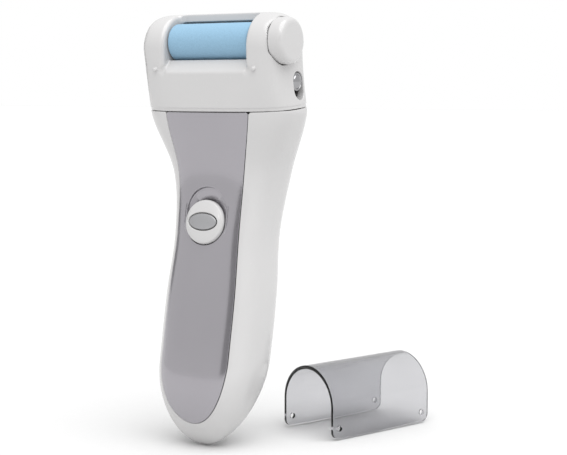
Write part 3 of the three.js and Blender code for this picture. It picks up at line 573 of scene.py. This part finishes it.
# ---------------------------------------------------------------- materials
def material(
    name, color, roughness, shade=0.05, patch=60, grain=900, bump=0.02, metallic=0.0, coat=0.0, clear=0.0
):
    """A moulded or machined finish: colour that drifts in soft patches, uneven gloss and a fine grain.

    patch and grain are in waves per metre, shade is how far the colour drifts, bump is in millimetres, and
    clear is how far the light goes through.
    """
    made = bpy.data.materials.new(name)
    made.use_nodes = True
    nodes, links = made.node_tree.nodes, made.node_tree.links
    shader = nodes["Principled BSDF"]
    place = nodes.new("ShaderNodeTexCoord").outputs["Object"]

    def noise(scale, detail):
        node = nodes.new("ShaderNodeTexNoise")
        node.inputs["Scale"].default_value = scale
        node.inputs["Detail"].default_value = detail
        links.new(place, node.inputs["Vector"])
        return node.outputs["Fac"]

    def mapped(source, low, high):
        node = nodes.new("ShaderNodeMapRange")
        node.inputs["From Min"].default_value = 0.3
        node.inputs["From Max"].default_value = 0.7
        node.inputs["To Min"].default_value = low
        node.inputs["To Max"].default_value = high
        links.new(source, node.inputs["Value"])
        return node.outputs["Result"]

    patches, fine = noise(patch, 3), noise(grain, 4)
    blend = nodes.new("ShaderNodeMix")
    blend.data_type = "RGBA"
    blend.inputs["A"].default_value = (*[c * (1 - shade) for c in color], 1)
    blend.inputs["B"].default_value = (*[min(1, c * (1 + shade)) for c in color], 1)
    links.new(mapped(patches, 0, 1), blend.inputs["Factor"])
    links.new(blend.outputs["Result"], shader.inputs["Base Color"])
    links.new(mapped(fine, roughness * 0.85, min(1, roughness * 1.15)), shader.inputs["Roughness"])
    relief = nodes.new("ShaderNodeBump")
    relief.inputs["Strength"].default_value = 0.5
    relief.inputs["Distance"].default_value = bump * MM
    links.new(fine, relief.inputs["Height"])
    links.new(relief.outputs["Normal"], shader.inputs["Normal"])
    shader.inputs["Metallic"].default_value = metallic
    shader.inputs["Coat Weight"].default_value = coat
    shader.inputs["Coat Roughness"].default_value = 0.06
    shader.inputs["Transmission Weight"].default_value = clear
    return made


def smoke_material():
    """Clear plastic with a smoky tint that deepens along the edges."""
    made = material("smoke_plastic", (0.9, 0.9, 0.92), 0.05, shade=0.02, bump=0.004, clear=1.0)
    nodes, links = made.node_tree.nodes, made.node_tree.links
    nodes["Principled BSDF"].inputs["IOR"].default_value = 1.46
    absorb = nodes.new("ShaderNodeVolumeAbsorption")
    absorb.inputs["Color"].default_value = (0.55, 0.55, 0.56, 1)
    absorb.inputs["Density"].default_value = 430
    links.new(absorb.outputs["Volume"], nodes["Material Output"].inputs["Volume"])
    return made


WHITE = (0.545, 0.54, 0.54)
SILVER = (0.355, 0.342, 0.367)
TRIM_GREY = (0.36, 0.36, 0.37)
ROLLER_BLUE = (0.25, 0.42, 0.565)
COPPER = (0.5, 0.2, 0.08)

looks = {
    "white_plastic": dict(
        color=WHITE, roughness=0.24, shade=0.012, patch=35, grain=1400, bump=0.006, coat=0.35
    ),
    "silver_panel": dict(
        color=SILVER, roughness=0.2, shade=0.03, patch=25, grain=5200, bump=0.004, metallic=0.75, coat=0.8
    ),
    "abrasive": dict(color=ROLLER_BLUE, roughness=0.85, shade=0.07, patch=2200, grain=4200, bump=0.07),
    "chrome_trim": dict(color=TRIM_GREY, roughness=0.14, metallic=0.95, bump=0.003),
    "grey_insert": dict(color=TRIM_GREY, roughness=0.32, metallic=0.5, grain=3000, bump=0.01),
    "dark_plastic": dict(color=(0.03, 0.03, 0.034), roughness=0.5, shade=0.2),
    "acetal": dict(color=(0.78, 0.76, 0.7), roughness=0.42, shade=0.03, bump=0.01),
    "steel": dict(color=(0.5, 0.5, 0.51), roughness=0.3, shade=0.08, patch=300, metallic=1.0, bump=0.006),
    "brass": dict(color=(0.62, 0.44, 0.16), roughness=0.32, shade=0.08, patch=300, metallic=1.0, bump=0.006),
    "copper_winding": dict(color=COPPER, roughness=0.38, shade=0.15, patch=400, metallic=1.0),
    "board": dict(color=(0.02, 0.17, 0.07), roughness=0.4, shade=0.25, patch=500, coat=0.5),
    "red_wire": dict(color=(0.55, 0.02, 0.02), roughness=0.45, shade=0.06, bump=0.01),
    "black_wire": dict(color=(0.012, 0.012, 0.013), roughness=0.45, shade=0.1, bump=0.01),
    "cell_skin": dict(color=(0.06, 0.16, 0.38), roughness=0.3, shade=0.06, coat=0.5, bump=0.006),
}
finishes = {name: material(name, **look) for name, look in looks.items()}
finishes["smoke_plastic"] = smoke_material()

for subpart in frame["record"]["subparts"]:
    node = frame["nodes"][subpart["node"]]
    node.data.materials.clear()
    node.data.materials.append(finishes[subpart["material_slot"]])

# ---------------------------------------------------------------- handle
BACK_TOP = SEAM + 4  # past the seam at the back of the handle
EDGE_ROLL = 0.2

switch_up = Vector(joints["power_switch_slide"]["axis"])
switch_in = switch_up.cross(Vector((1, 0, 0)))
switch_axes = np.array([(1, 0, 0), switch_in, switch_up])
switch_centre = np.array([0, front_at(SWITCH_HEIGHT), SWITCH_HEIGHT])


def from_switch(points):
    """Points of the switch's frame, whose X is across, Y goes in and Z up the panel, as device points."""
    return np.asarray(points, float) @ switch_axes + switch_centre


def panel_distance(points):
    """How far inside the panel's outline a point is, across the front."""
    x, y, z = np.abs(points[:, 0]), points[:, 1], points[:, 2]
    side = through(PANEL_HALF_WIDTHS, (z - PANEL_ROUND_TOP) / STATION_STEP) - x
    half, drop = PANEL_HALF_WIDTHS[0], PANEL_ROUND_TOP - PANEL_TIP
    below = np.minimum(z - PANEL_ROUND_TOP, 0)
    size = np.maximum(np.hypot(x / half, below / drop), 1e-6)
    slope = np.maximum(np.hypot(x / half**2, below / drop**2) / size, 1e-6)
    inside = np.where(z < PANEL_ROUND_TOP, (1 - size) / slope, side)
    return np.where((y > PANEL_SIDE) & (z > PANEL_TIP), OUTSIDE, inside)


def switch_slot_distance(points):
    """Distance to the outline of the switch's recess."""
    across, _, up = ((points - switch_centre) @ switch_axes.T).T
    return slot_distance(across, up, 0, SWITCH_TRAVEL, RECESS_RADIUS)


def cover_distance(points):
    """How far inside the battery cover's outline a point is, across the back."""
    middle, half = (COVER_LOW + COVER_HIGH) / 2, (COVER_HIGH - COVER_LOW) / 2
    inside = -rectangle_distance(points[:, 0], points[:, 2] - middle, COVER_HALF_WIDTH, half, COVER_CORNER)
    in_front = points[:, 1] < 2
    return np.where(in_front, OUTSIDE, inside)


def below_seam(points):
    """How far a point is below the head."""
    return seam_at(points[:, 1]) - SEAM_GAP - points[:, 2]


def shell_keep(points):
    """How far inside the shell's outline a point is: below the head, beside the panel and the cover."""
    beside_panel = -panel_distance(points) - 2 * PANEL_GAP
    beside_cover = -cover_distance(points) - COVER_GAP
    return np.minimum(np.minimum(beside_panel, beside_cover), below_seam(points))


def panel_keep(points):
    """How far inside the panel a point is, outside the switch's recess."""
    inside = np.minimum(panel_distance(points) - PANEL_GAP, below_seam(points))
    return np.minimum(inside, switch_slot_distance(points))


def cover_surface(angle, z):
    """The handle's back with a finger scoop near the cover's top."""
    points = body_surface(angle, z)
    x, y, z = points.T
    hollow = SCOOP_CENTRE_Y - np.sqrt(np.maximum(SCOOP_RADIUS**2 - (z - SCOOP_HEIGHT) ** 2, 0.01))
    fade = 1.2  # the scoop's ends run out over this on each side of its half width
    width = ease(-np.abs(x), -SCOOP_HALF_WIDTH - fade, fade - SCOOP_HALF_WIDTH)
    depth = np.maximum(y - hollow, 0) * width
    points[:, 1] -= np.where(np.abs(z - SCOOP_HEIGHT) < SCOOP_RADIUS, depth, 0)
    return points


def end_levels(spacing):
    """Heights up the rounded end, close together near its tip."""
    share = np.linspace(0.015, 1, int(END_ROUND * 1.5 / spacing))
    return END_ROUND * (1 - np.cos(share * math.pi / 2))


def add_handle():
    """The shell, the front panel with its switch recess, and the battery cover."""
    spacing = 0.6
    around = np.arange(0, TURN, TURN / 224) - math.pi / 2
    levels = np.concatenate([end_levels(spacing), even(END_ROUND, BACK_TOP, spacing)[1:]])
    pole = (0, float(handle_section(0)[1]), 0)
    shell = sheet(body_surface, shell_keep, around, levels, SHELL_WALL, EDGE_ROLL, closed=True, pole=pole)
    add_mesh("handle_shell_skin", *shell, "housing", "white_plastic", ["handle_shell"])

    front = np.linspace(-math.pi, 0, 140)[8:-8]
    heights = even(PANEL_TIP - 1, SEAM + 1.4, 0.5)
    panel = sheet(body_surface, panel_keep, front, heights, PANEL_WALL, EDGE_ROLL)
    add_mesh("front_panel_skin", *joined(panel, switch_dish()), "housing", "silver_panel", ["front_panel"])

    back = np.linspace(0, math.pi, 130)[8:-8]
    heights = even(COVER_LOW - 1, COVER_HIGH + 1, 0.5)
    cover = sheet(cover_surface, cover_distance, back, heights, COVER_WALL, EDGE_ROLL)
    add_mesh("battery_cover_skin", *cover, "rear_cover", "white_plastic", ["battery_cover"])


def slot_ring(radius, depth, segments):
    """A ring with round ends in the switch's frame, at a depth."""
    ring = []
    for k in range(segments):
        angle = TURN * (k + 0.5) / segments
        lift = SWITCH_TRAVEL if math.sin(angle) > 0 else 0
        ring.append((radius * math.cos(angle), depth, radius * math.sin(angle) + lift))
    return ring


def square_ring(half, depth, segments, travel=0):
    """A square ring in the switch's frame, drawn out upwards by travel, that lines up with slot_ring."""
    ring = []
    for k in range(segments):
        angle = TURN * (k + 0.5) / segments
        reach = half / max(abs(math.cos(angle)), abs(math.sin(angle)))
        lift = travel if math.sin(angle) > 0 else 0
        ring.append((reach * math.cos(angle), depth, reach * math.sin(angle) + lift))
    return ring


def switch_dish():
    """The walls and floor of the switch's recess, open for the stem."""
    segments = 96
    outer = RECESS_RADIUS + 1.1
    under = RECESS_DEPTH + 1.1
    rings = [
        square_ring(STEM_HOLE_HALF, RECESS_DEPTH, segments, SWITCH_TRAVEL),
        slot_ring(RECESS_RADIUS - 0.5, RECESS_DEPTH, segments),
        slot_ring(RECESS_RADIUS - 0.12, RECESS_DEPTH - 0.15, segments),
        slot_ring(RECESS_RADIUS, RECESS_DEPTH - 0.55, segments),
        slot_ring(RECESS_RADIUS + 0.02, 0.45, segments),
        slot_ring(outer, 0.6, segments),
        slot_ring(outer, under, segments),
        square_ring(STEM_HOLE_HALF, under, segments, SWITCH_TRAVEL),
    ]
    points = from_switch([p for ring in rings for p in ring])
    faces = []
    for i in range(len(rings)):
        for j in range(segments):
            k = (j + 1) % segments
            near, far = i * segments, (i + 1) % len(rings) * segments
            faces.append((near + j, near + k, far + k, far + j))
    return points, faces


# ---------------------------------------------------------------- switch
def oval_ring(half_x, half_z, depth, segments):
    """An oval ring in the switch's frame, at a depth."""
    angles = TURN * np.arange(segments) / segments
    return [(half_x * math.cos(a), depth, half_z * math.sin(a)) for a in angles]


def scaled_ring(oval, scale, depth, segments):
    return oval_ring(oval[0] * scale, oval[1] * scale, depth, segments)


def slider_rings(segments):
    """The slider from its pocket's floor, over the bead and the face, to its underside."""
    bead = 0.28
    bead_scale = 1.06
    drop = 0.35  # the face falls by this to its shoulder
    underside = 1.0
    floor = SWITCH_FACE + 0.9
    top = SWITCH_FACE - bead
    wall = [(0.99, floor), (1.0, floor - 0.15), (1.0, top + 0.3), (1.02, top + 0.08), (bead_scale, top)]
    rings = [[(0, floor, 0)]]
    rings += [scaled_ring(POCKET_OVAL, scale, depth, segments) for scale, depth in wall]
    shoulder = SWITCH_RADIUS - 1.1
    steps = 12
    for k in range(1, steps + 1):
        t = k / steps
        depth = SWITCH_FACE - bead * (1 - t) ** 2 + drop * t**3
        half_x, half_z = (half * bead_scale for half in POCKET_OVAL)
        half_x, half_z = half_x + (shoulder - half_x) * t, half_z + (shoulder - half_z) * t
        rings.append(oval_ring(half_x, half_z, depth, segments))
    side = [
        (shoulder, SWITCH_FACE + drop),
        (SWITCH_RADIUS - 0.35, SWITCH_FACE + 0.55),
        (SWITCH_RADIUS, SWITCH_FACE + 1.5),
        (SWITCH_RADIUS, underside),
    ]
    rings += [oval_ring(radius, radius, depth, segments) for radius, depth in rounded(side, 0.8)[1:]]
    rings.append([(0, underside, 0)])
    return rings


def add_switch():
    """The slider with its stem, and the insert in the slider's pocket."""
    segments, stem_segments = 96, 16
    stem_top, stem_end = 0.6, 5.2
    stem = [square_ring(STEM_HALF, depth, stem_segments) for depth in (stem_top, stem_end)]
    stem = [[(0, stem_top, 0)], *stem, [(0, stem_end, 0)]]
    points, faces = joined(stacked(slider_rings(segments), segments), stacked(stem, stem_segments))
    points, faces = from_switch(points), [tuple(reversed(face)) for face in faces]
    add_mesh("switch_slider_skin", points, faces, "power_switch", "white_plastic", ["switch_slider"])

    # The insert, from its foot in the pocket over its crowned face: depth and share of its half sizes.
    foot, crown = 0.42, -0.68
    dome = [(foot, 1.0), (-0.12, 1.0), (-0.3, 0.98), (-0.42, 0.94), (-0.52, 0.8), (-0.6, 0.6), (-0.66, 0.3)]
    rings = [[(0, SWITCH_FACE + foot, 0)]]
    rings += [scaled_ring(INSERT_OVAL, scale, SWITCH_FACE + depth, segments) for depth, scale in dome]
    rings.append([(0, SWITCH_FACE + crown, 0)])
    points, faces = stacked(rings, segments)
    points = from_switch(points)
    add_mesh("switch_insert_skin", points, faces, "power_switch", "grey_insert", ["switch_insert"])


# ---------------------------------------------------------------- head
# The head's larger hollows. Its screw holes, the gear axle's hole and the latch's slot aren't cut here.
ARM_INSIDE = 20.1
MIDDLE_TOP = 147
MOTOR_SPACE = 10.5
GEARS_INSIDE = -21.8
SHAFT_HOLES = (3.05, 3.3)  # for the drive spindle and the motor's nose
LATCH_MIDDLE = (26.5, 5.25)
LATCH_HALF = (3.3, 7.25)
LATCH_TOP = 156.6


def head_body(x, y, z):
    """The head's outer form before anything is cut from it."""
    half_width, centre, half_depth, power = head_section(z)
    across = np.abs(x) / half_width
    deep = np.hypot(y - centre, np.maximum(z - ARCH_Z, 0)) / half_depth
    size = np.maximum((across**power + deep**power) ** (1 / power), 1e-3)
    slope = np.hypot(across ** (power - 1) / half_width, deep ** (power - 1) / half_depth)
    slope = slope * size ** (1 - power)
    return (size - 1) / np.maximum(slope, 1e-3)


def arched(y, z, radius, bottom):
    """Distance to an arched outline: a half circle on a straight back and a slanted front."""
    depth, height = GEAR_SLANT
    slant = ((bottom + height - z) * depth - (y - ARCH_Y + radius) * height) / math.hypot(depth, height)
    arch = np.hypot(y - ARCH_Y, np.maximum(z - ARCH_Z, 0)) - radius
    return np.maximum(np.maximum(arch, bottom - z), slant)


def roller_opening(x, y, z):
    """Distance to the roller's opening: sloped ledge, cradle, and the bar with the pocket under it."""
    back_y = ROLLER_Y - math.sqrt(CRADLE_RADIUS**2 - (ROLLER_Z - LEDGE_BACK_Z) ** 2)
    run, rise = back_y - LEDGE_FRONT[0], LEDGE_BACK_Z - LEDGE_FRONT[1]
    length = math.hypot(run, rise)
    over_ledge = ((y - LEDGE_FRONT[0]) * rise - (z - LEDGE_FRONT[1]) * run) / length
    cradle = np.hypot(y - ROLLER_Y, z - ROLLER_Z) - CRADLE_RADIUS
    pocket = np.maximum(np.hypot(y - POCKET_Y, z - ROLLER_Z) - POCKET_RADIUS, ROLLER_Z - z)
    profile = np.minimum(melt(np.maximum(over_ledge, y - BAR_FRONT), cradle, 0.2), pocket)
    flare = 1.9 * (1 - ease(z, 153.6, 157.4)) * (1 - ease(y, -14.8, -11.5))
    corner = 1 + 1.8 * ease(z, 171, 175)
    return cut(profile, np.abs(x) - OPENING_HALF - flare, corner)


def head_hollow(x, y, z, body):
    """The spaces for the latch, the motor and the gears, with the holes for their shafts."""
    about_roller = np.hypot(y - ROLLER_Y, z - ROLLER_Z)
    about_motor = np.hypot(y - MOTOR_Y, z - MOTOR_Z)
    latch_x = np.abs(x - LATCH_MIDDLE[0]) - LATCH_HALF[0]
    latch_y = np.abs(y - LATCH_MIDDLE[1]) - LATCH_HALF[1]
    latch = np.maximum(np.maximum(latch_x, latch_y), z - LATCH_TOP)
    between_arms = np.abs(x) - ARM_INSIDE
    middle = np.maximum(np.maximum(body + 2, between_arms), z - MIDDLE_TOP)
    motor = np.maximum(about_motor - MOTOR_SPACE, between_arms)
    gears = np.maximum(arched(y, z, GEAR_CAVITY, GEAR_FLOOR), x - GEARS_INSIDE)
    for screw_y, screw_z in GEAR_COVER_SCREWS:
        gears = np.maximum(gears, 2.2 - np.hypot(y - screw_y, z - screw_z))
    shafts = np.minimum(about_roller - SHAFT_HOLES[0], about_motor - SHAFT_HOLES[1])
    shafts = np.maximum(shafts, np.abs(x + 20) - 10)
    return np.minimum(np.minimum(np.minimum(latch, middle), np.minimum(motor, gears)), shafts)


def head_field(x, y, z):
    """Distance to the head housing: its form, the lip at the seam, openings, hollows and the cap's nubs."""
    about_roller = np.hypot(y - ROLLER_Y, z - ROLLER_Z)
    body = head_body(x, y, z)
    above_seam = z - seam_at(y)
    lip = 0.26 * (1 - ease(above_seam, 1.35, 1.7))
    shape = cut(body + lip, SEAM_GAP - above_seam, 0.2)
    edge = 0.5 + 1.3 * ease(np.abs(x), OPENING_HALF - 1.4, OPENING_HALF)
    shape = cut(shape, -roller_opening(x, y, z), edge)
    shape = cut(shape, -np.maximum(about_roller - PLUG_RADIUS - 0.4, OPENING_HALF - 1 - x), 0.35)
    shape = cut(shape, -np.maximum(about_roller - KNOB_RADIUS - GAP, KNOB_SEAT - x), 0.4)
    slot = slot_distance(y - RELEASE_Y, z, RELEASE_Z - RELEASE_TRAVEL, RELEASE_Z, RELEASE_RADIUS + GAP)
    shape = cut(shape, -np.maximum(slot, 26 - x), 0.4)
    shape = np.maximum(shape, -head_hollow(x, y, z, body))
    cover = arched(y, z, GEAR_CAVITY + 1.2, GEAR_FLOOR - 1.2)
    shape = cut(shape, -cut(cover, x - GEAR_COVER_INSIDE - GAP, 0.2), 0.15)
    sunk = 0.35
    for side in (-1, 1):
        for nub_y in (ARCH_Y - ARCH_RADIUS + sunk, ARCH_Y + ARCH_RADIUS - sunk):
            about_nub = np.sqrt((x - side * NUB_X) ** 2 + (y - nub_y) ** 2 + (z - NUB_Z) ** 2)
            shape = melt(shape, about_nub - NUB_RADIUS, 0.3)
    return shape


def gear_cover_field(x, y, z):
    """Distance to the gear cover: a slice of the left arm's face with two countersunk screw holes."""
    shape = cut(head_body(x, y, z), arched(y, z, GEAR_CAVITY + 1, GEAR_FLOOR - 1), 0.2)
    shape = np.maximum(shape, x - GEAR_COVER_INSIDE)
    for screw_y, screw_z in GEAR_COVER_SCREWS:
        about = np.hypot(y - screw_y, z - screw_z)
        shape = cut(shape, -np.maximum(about - 2.1, x + 31.2), 0.2)
        shape = np.maximum(shape, 1.1 - about)
    return shape


def add_head():
    """The head housing, and the gear cover on its left arm."""
    half = 35.6  # the grids reach a little past the pieces
    head = net(head_field, (-half, -17, SEAM - 0.6), (half, 23, HEIGHT + 0.8), 0.34)
    add_mesh("head_housing_skin", *head, "housing", "white_plastic", ["head_housing"])
    cover = net(gear_cover_field, (-35.2, -14, GEAR_FLOOR - 2), (-29.4, 14, HEIGHT + 0.6), 0.24)
    add_mesh("gear_cover_skin", *cover, "housing", "white_plastic", ["gear_cover"])


# ---------------------------------------------------------------- cartridge and release button
def add_roller():
    """The abrasive sleeve, with a bore for its core and a fine grit on its outside."""
    rng = np.random.default_rng(11)
    inner = ROLLER_RADIUS - 1.5
    corner = 0.9
    straight = ROLLER_HALF - corner
    arc = [math.pi / 2 * k / 5 for k in range(6)]
    right = [(straight + corner * math.cos(a), ROLLER_RADIUS - corner + corner * math.sin(a)) for a in arc]
    middle = [(x, ROLLER_RADIUS) for x in np.linspace(straight, -straight, 130)[1:-1]]
    left = [(-x, r) for x, r in reversed(right)]
    profile = [(-ROLLER_HALF, inner)] + left[::-1] + middle[::-1] + right[::-1] + [(ROLLER_HALF, inner)]
    points, faces = turned(profile, ROLLER_Y, ROLLER_Z, 160, closed=True)
    radial = points[:, 1:] - (ROLLER_Y, ROLLER_Z)
    radius = np.linalg.norm(radial, axis=1, keepdims=True)
    grit = rng.normal(0, 0.022, (len(points), 1)).clip(-0.05, 0.05)
    radial *= 1 + np.where(radius > ROLLER_RADIUS - 0.05, grit, 0) / radius
    points[:, 1:] = radial + (ROLLER_Y, ROLLER_Z)
    add_mesh("roller_sleeve_skin", points, faces, "roller", "abrasive", ["roller_sleeve"])


def add_knob():
    """The knob with its plug and the groove that the latch holds, without the axle's socket."""
    groove = (25.6, 28.4)
    groove_radius = 6.8
    seat = KNOB_SEAT + GAP
    line = [
        (20.6, 0),
        (20.6, PLUG_RADIUS),
        (groove[0], PLUG_RADIUS),
        (groove[0], groove_radius),
        (groove[1], groove_radius),
        (groove[1], PLUG_RADIUS),
        (seat, PLUG_RADIUS),
        (seat, KNOB_RADIUS),
        (KNOB_FACE, KNOB_RADIUS, 2.6),
        (KNOB_FACE, 0),
    ]
    knob = turned(rounded(line, 0.35, 8), ROLLER_Y, ROLLER_Z, 128)
    add_mesh("end_knob_skin", *knob, "cartridge", "white_plastic", ["end_knob"])


def add_release():
    """The release button on its stem, with a ring groove round its crowned face."""
    front, radius = RELEASE_FRONT, RELEASE_RADIUS
    stem_end, stem_radius, back = 28.3, 2.4, 30.2
    line = [
        (stem_end, 0),
        (stem_end, stem_radius),
        (back, stem_radius),
        (back, radius),
        (front - 1.2, radius, 0.3),
        (front - 0.95, radius - 0.5, 0.3),
        (front - 1.35, radius - 0.8, 0.3),
        (front - 0.75, radius - 1.3, 0.5),
        (front - 0.1, 1.2, 1.4),
        (front, 0),
    ]
    button = turned(rounded(line, 0.2, 6), RELEASE_Y, RELEASE_Z, 72)
    add_mesh("release_button_skin", *button, "release", "chrome_trim", ["release_button"])


def add_spring():
    """The coil under the latch plate."""
    x, y = 26, RELEASE_Y
    foot, top = SEAM + 2.5, RELEASE_Z - 5.3
    radius, wire, turns = 1.7, 0.25, 3
    steps, sides = 90, 10
    up = np.array([0, 0, 1])
    points, faces = [], []
    for i in range(steps + 1):
        angle = TURN * turns * i / steps
        out = np.array([math.cos(angle), math.sin(angle), 0])
        middle = np.array([x, y, foot + wire + (top - foot - 2 * wire) * i / steps]) + radius * out
        for k in range(sides):
            around = TURN * k / sides
            points.append(middle + wire * (math.cos(around) * out + math.sin(around) * up))
    for i in range(steps):
        for k in range(sides):
            a, b = i * sides + k, i * sides + (k + 1) % sides
            faces.append((a, a + sides, b + sides, b))
    faces.append(tuple(range(sides)))
    faces.append(tuple(reversed(range(steps * sides, (steps + 1) * sides))))
    coil = add_mesh("release_spring_coil", points, faces, "housing", "steel", ["release_spring"])
    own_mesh(coil)


# ---------------------------------------------------------------- cap
def add_cap():
    """The arched cap: one sheet with rounded corners, slightly bowed ends and a hole for each nub."""
    spring = CAP_HEIGHT - CAP_RADIUS  # where the arch springs from the straight sides
    half = CAP_LENGTH / 2
    low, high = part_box("protective_cap")
    centre = (np.array(low + high) / 2 / MM - ORIGIN)[:2]
    yaw = math.radians(CAP_YAW)
    along = np.array([math.cos(yaw), math.sin(yaw)])
    across = np.array([-math.sin(yaw), math.cos(yaw)])
    quarter = CAP_RADIUS * math.pi / 2

    def profile(length):
        """Across and up, at a length along the cap's outline measured from its crown."""
        size = np.abs(length)
        angle = np.minimum(size, quarter) / CAP_RADIUS
        drop = np.maximum(size - quarter, 0)
        side = np.sign(length) * CAP_RADIUS * np.sin(angle)
        return side, spring + CAP_RADIUS * np.cos(angle) - drop

    def surface(length, distance):
        """Points of the cap's outside, at a length round its outline and a distance along it."""
        side, up = profile(length)
        flat = centre + distance[:, None] * along - side[:, None] * across
        return np.column_stack([flat, up])

    def keep(points):
        """How far inside the cap's lower edges, corners and ends a point is, outside its holes."""
        distance, up = (points[:, :2] - centre) @ along, points[:, 2]
        bow = 0.5 * (distance / half) ** 2
        above = 40  # well past the crown
        edges = rectangle_distance(distance, up - bow - above, half, above, 3.2)
        hole = np.hypot(np.abs(distance) - NUB_X, up - CAP_HOLE_HEIGHT) - CAP_HOLE_RADIUS
        return np.minimum(-edges, hole)

    spacing = 0.55
    past = 1
    length = quarter + spring + past
    lengths, distances = even(-length, length, spacing), even(-half - past, half + past, spacing)
    cap = sheet(surface, keep, lengths, distances, CAP_WALL, 0.3)
    add_mesh("protective_cap_skin", *cap, "cap", "smoke_plastic", ["protective_cap"])


add_handle()
add_switch()
add_head()
add_roller()
add_knob()
add_release()
add_spring()
add_cap()


# ---------------------------------------------------------------- studio
def stage_mesh(name, points, faces, made):
    """A mesh of the studio, in metres of the row frame."""
    mesh = bpy.data.meshes.new(name)
    mesh.from_pydata(points, [], faces)
    mesh.materials.append(made)
    obj = bpy.data.objects.new(name, mesh)
    bpy.context.scene.collection.objects.link(obj)
    return obj


def add_card(name, azimuth, distance, low, high, width, made):
    """An upright card that only reflections see, at an azimuth from the front towards +X."""
    angle = math.radians(azimuth)
    out = Vector((math.sin(angle), -math.cos(angle), 0))
    side = Vector((math.cos(angle), math.sin(angle), 0)) * width / 2
    outline = ((-1, low), (1, low), (1, high), (-1, high))
    corners = [tuple(out * distance + side * u + Vector((0, 0, z))) for u, z in outline]
    card = stage_mesh(name, corners, [(0, 1, 2, 3)], made)
    card.visible_camera = False
    card.visible_diffuse = False
    card.visible_transmission = False
    card.visible_shadow = False


def add_floor_and_cards():
    """A pale floor, and two grey cards that give the glossy pieces something darker to reflect."""
    floor_z = cad_box[0].z - 0.0004
    reach = 8.0
    floor = [(x * reach, y * reach, floor_z) for x, y in ((-1, -1), (1, -1), (1, 1), (-1, 1))]
    paper = material("floor_paper", (0.68, 0.68, 0.68), 0.9, shade=0.004, patch=4, grain=300)
    stage_mesh("studio_floor", floor, [(0, 1, 2, 3)], paper)
    grey = material("grey_card", (0.17, 0.17, 0.17), 0.9, shade=0.02, patch=4, grain=300)
    add_card("card_right", azimuth=32, distance=0.95, low=0.0, high=0.5, width=0.7, made=grey)
    add_card("card_left", azimuth=-97, distance=0.6, low=0.0, high=0.4, width=0.36, made=grey)


def add_sky():
    """An even white surround, a little dimmer as a light than it looks to the camera."""
    world = bpy.data.worlds.new("studio")
    bpy.context.scene.world = world
    world.use_nodes = True
    nodes, links = world.node_tree.nodes, world.node_tree.links
    background = nodes["Background"]
    background.inputs["Color"].default_value = (1, 1, 1, 1)
    seen = nodes.new("ShaderNodeLightPath").outputs["Is Camera Ray"]
    strength = nodes.new("ShaderNodeMapRange")
    strength.inputs["To Min"].default_value = 0.85
    strength.inputs["To Max"].default_value = 1.0
    links.new(seen, strength.inputs["Value"])
    links.new(strength.outputs["Result"], background.inputs["Strength"])


def add_sun():
    """A very soft light from above, a little from the front and the right."""
    sun = bpy.data.lights.new("soft_sun", "SUN")
    sun.energy = 2.5
    sun.angle = math.radians(70)
    lamp = bpy.data.objects.new("soft_sun", sun)
    bpy.context.scene.collection.objects.link(lamp)
    lamp.rotation_mode = "QUATERNION"
    lamp.rotation_quaternion = Vector((-0.35, 0.25, -1.0)).to_track_quat("-Z", "Y")


def add_camera():
    """A long lens from the front right, looking slightly down."""
    azimuth, elevation = math.radians(31.39), math.radians(5.71)
    place = (0.3222, -0.48365, 0.05898)
    level = math.cos(elevation)
    right = Vector((math.cos(azimuth), math.sin(azimuth), 0))
    back = Vector((math.sin(azimuth) * level, -math.cos(azimuth) * level, math.sin(elevation)))
    up = back.cross(right)
    data = bpy.data.cameras.new("photo_view")
    data.sensor_width = 36
    data.lens = 87.9
    camera = bpy.data.objects.new("photo_view", data)
    bpy.context.scene.collection.objects.link(camera)
    turn = Matrix((right, up, back)).transposed().to_4x4()
    camera.matrix_world = Matrix.Translation(place) @ turn
    bpy.context.scene.camera = camera


add_floor_and_cards()
add_sky()
add_sun()
add_camera()
bpy.context.scene.view_settings.view_transform = "Standard"
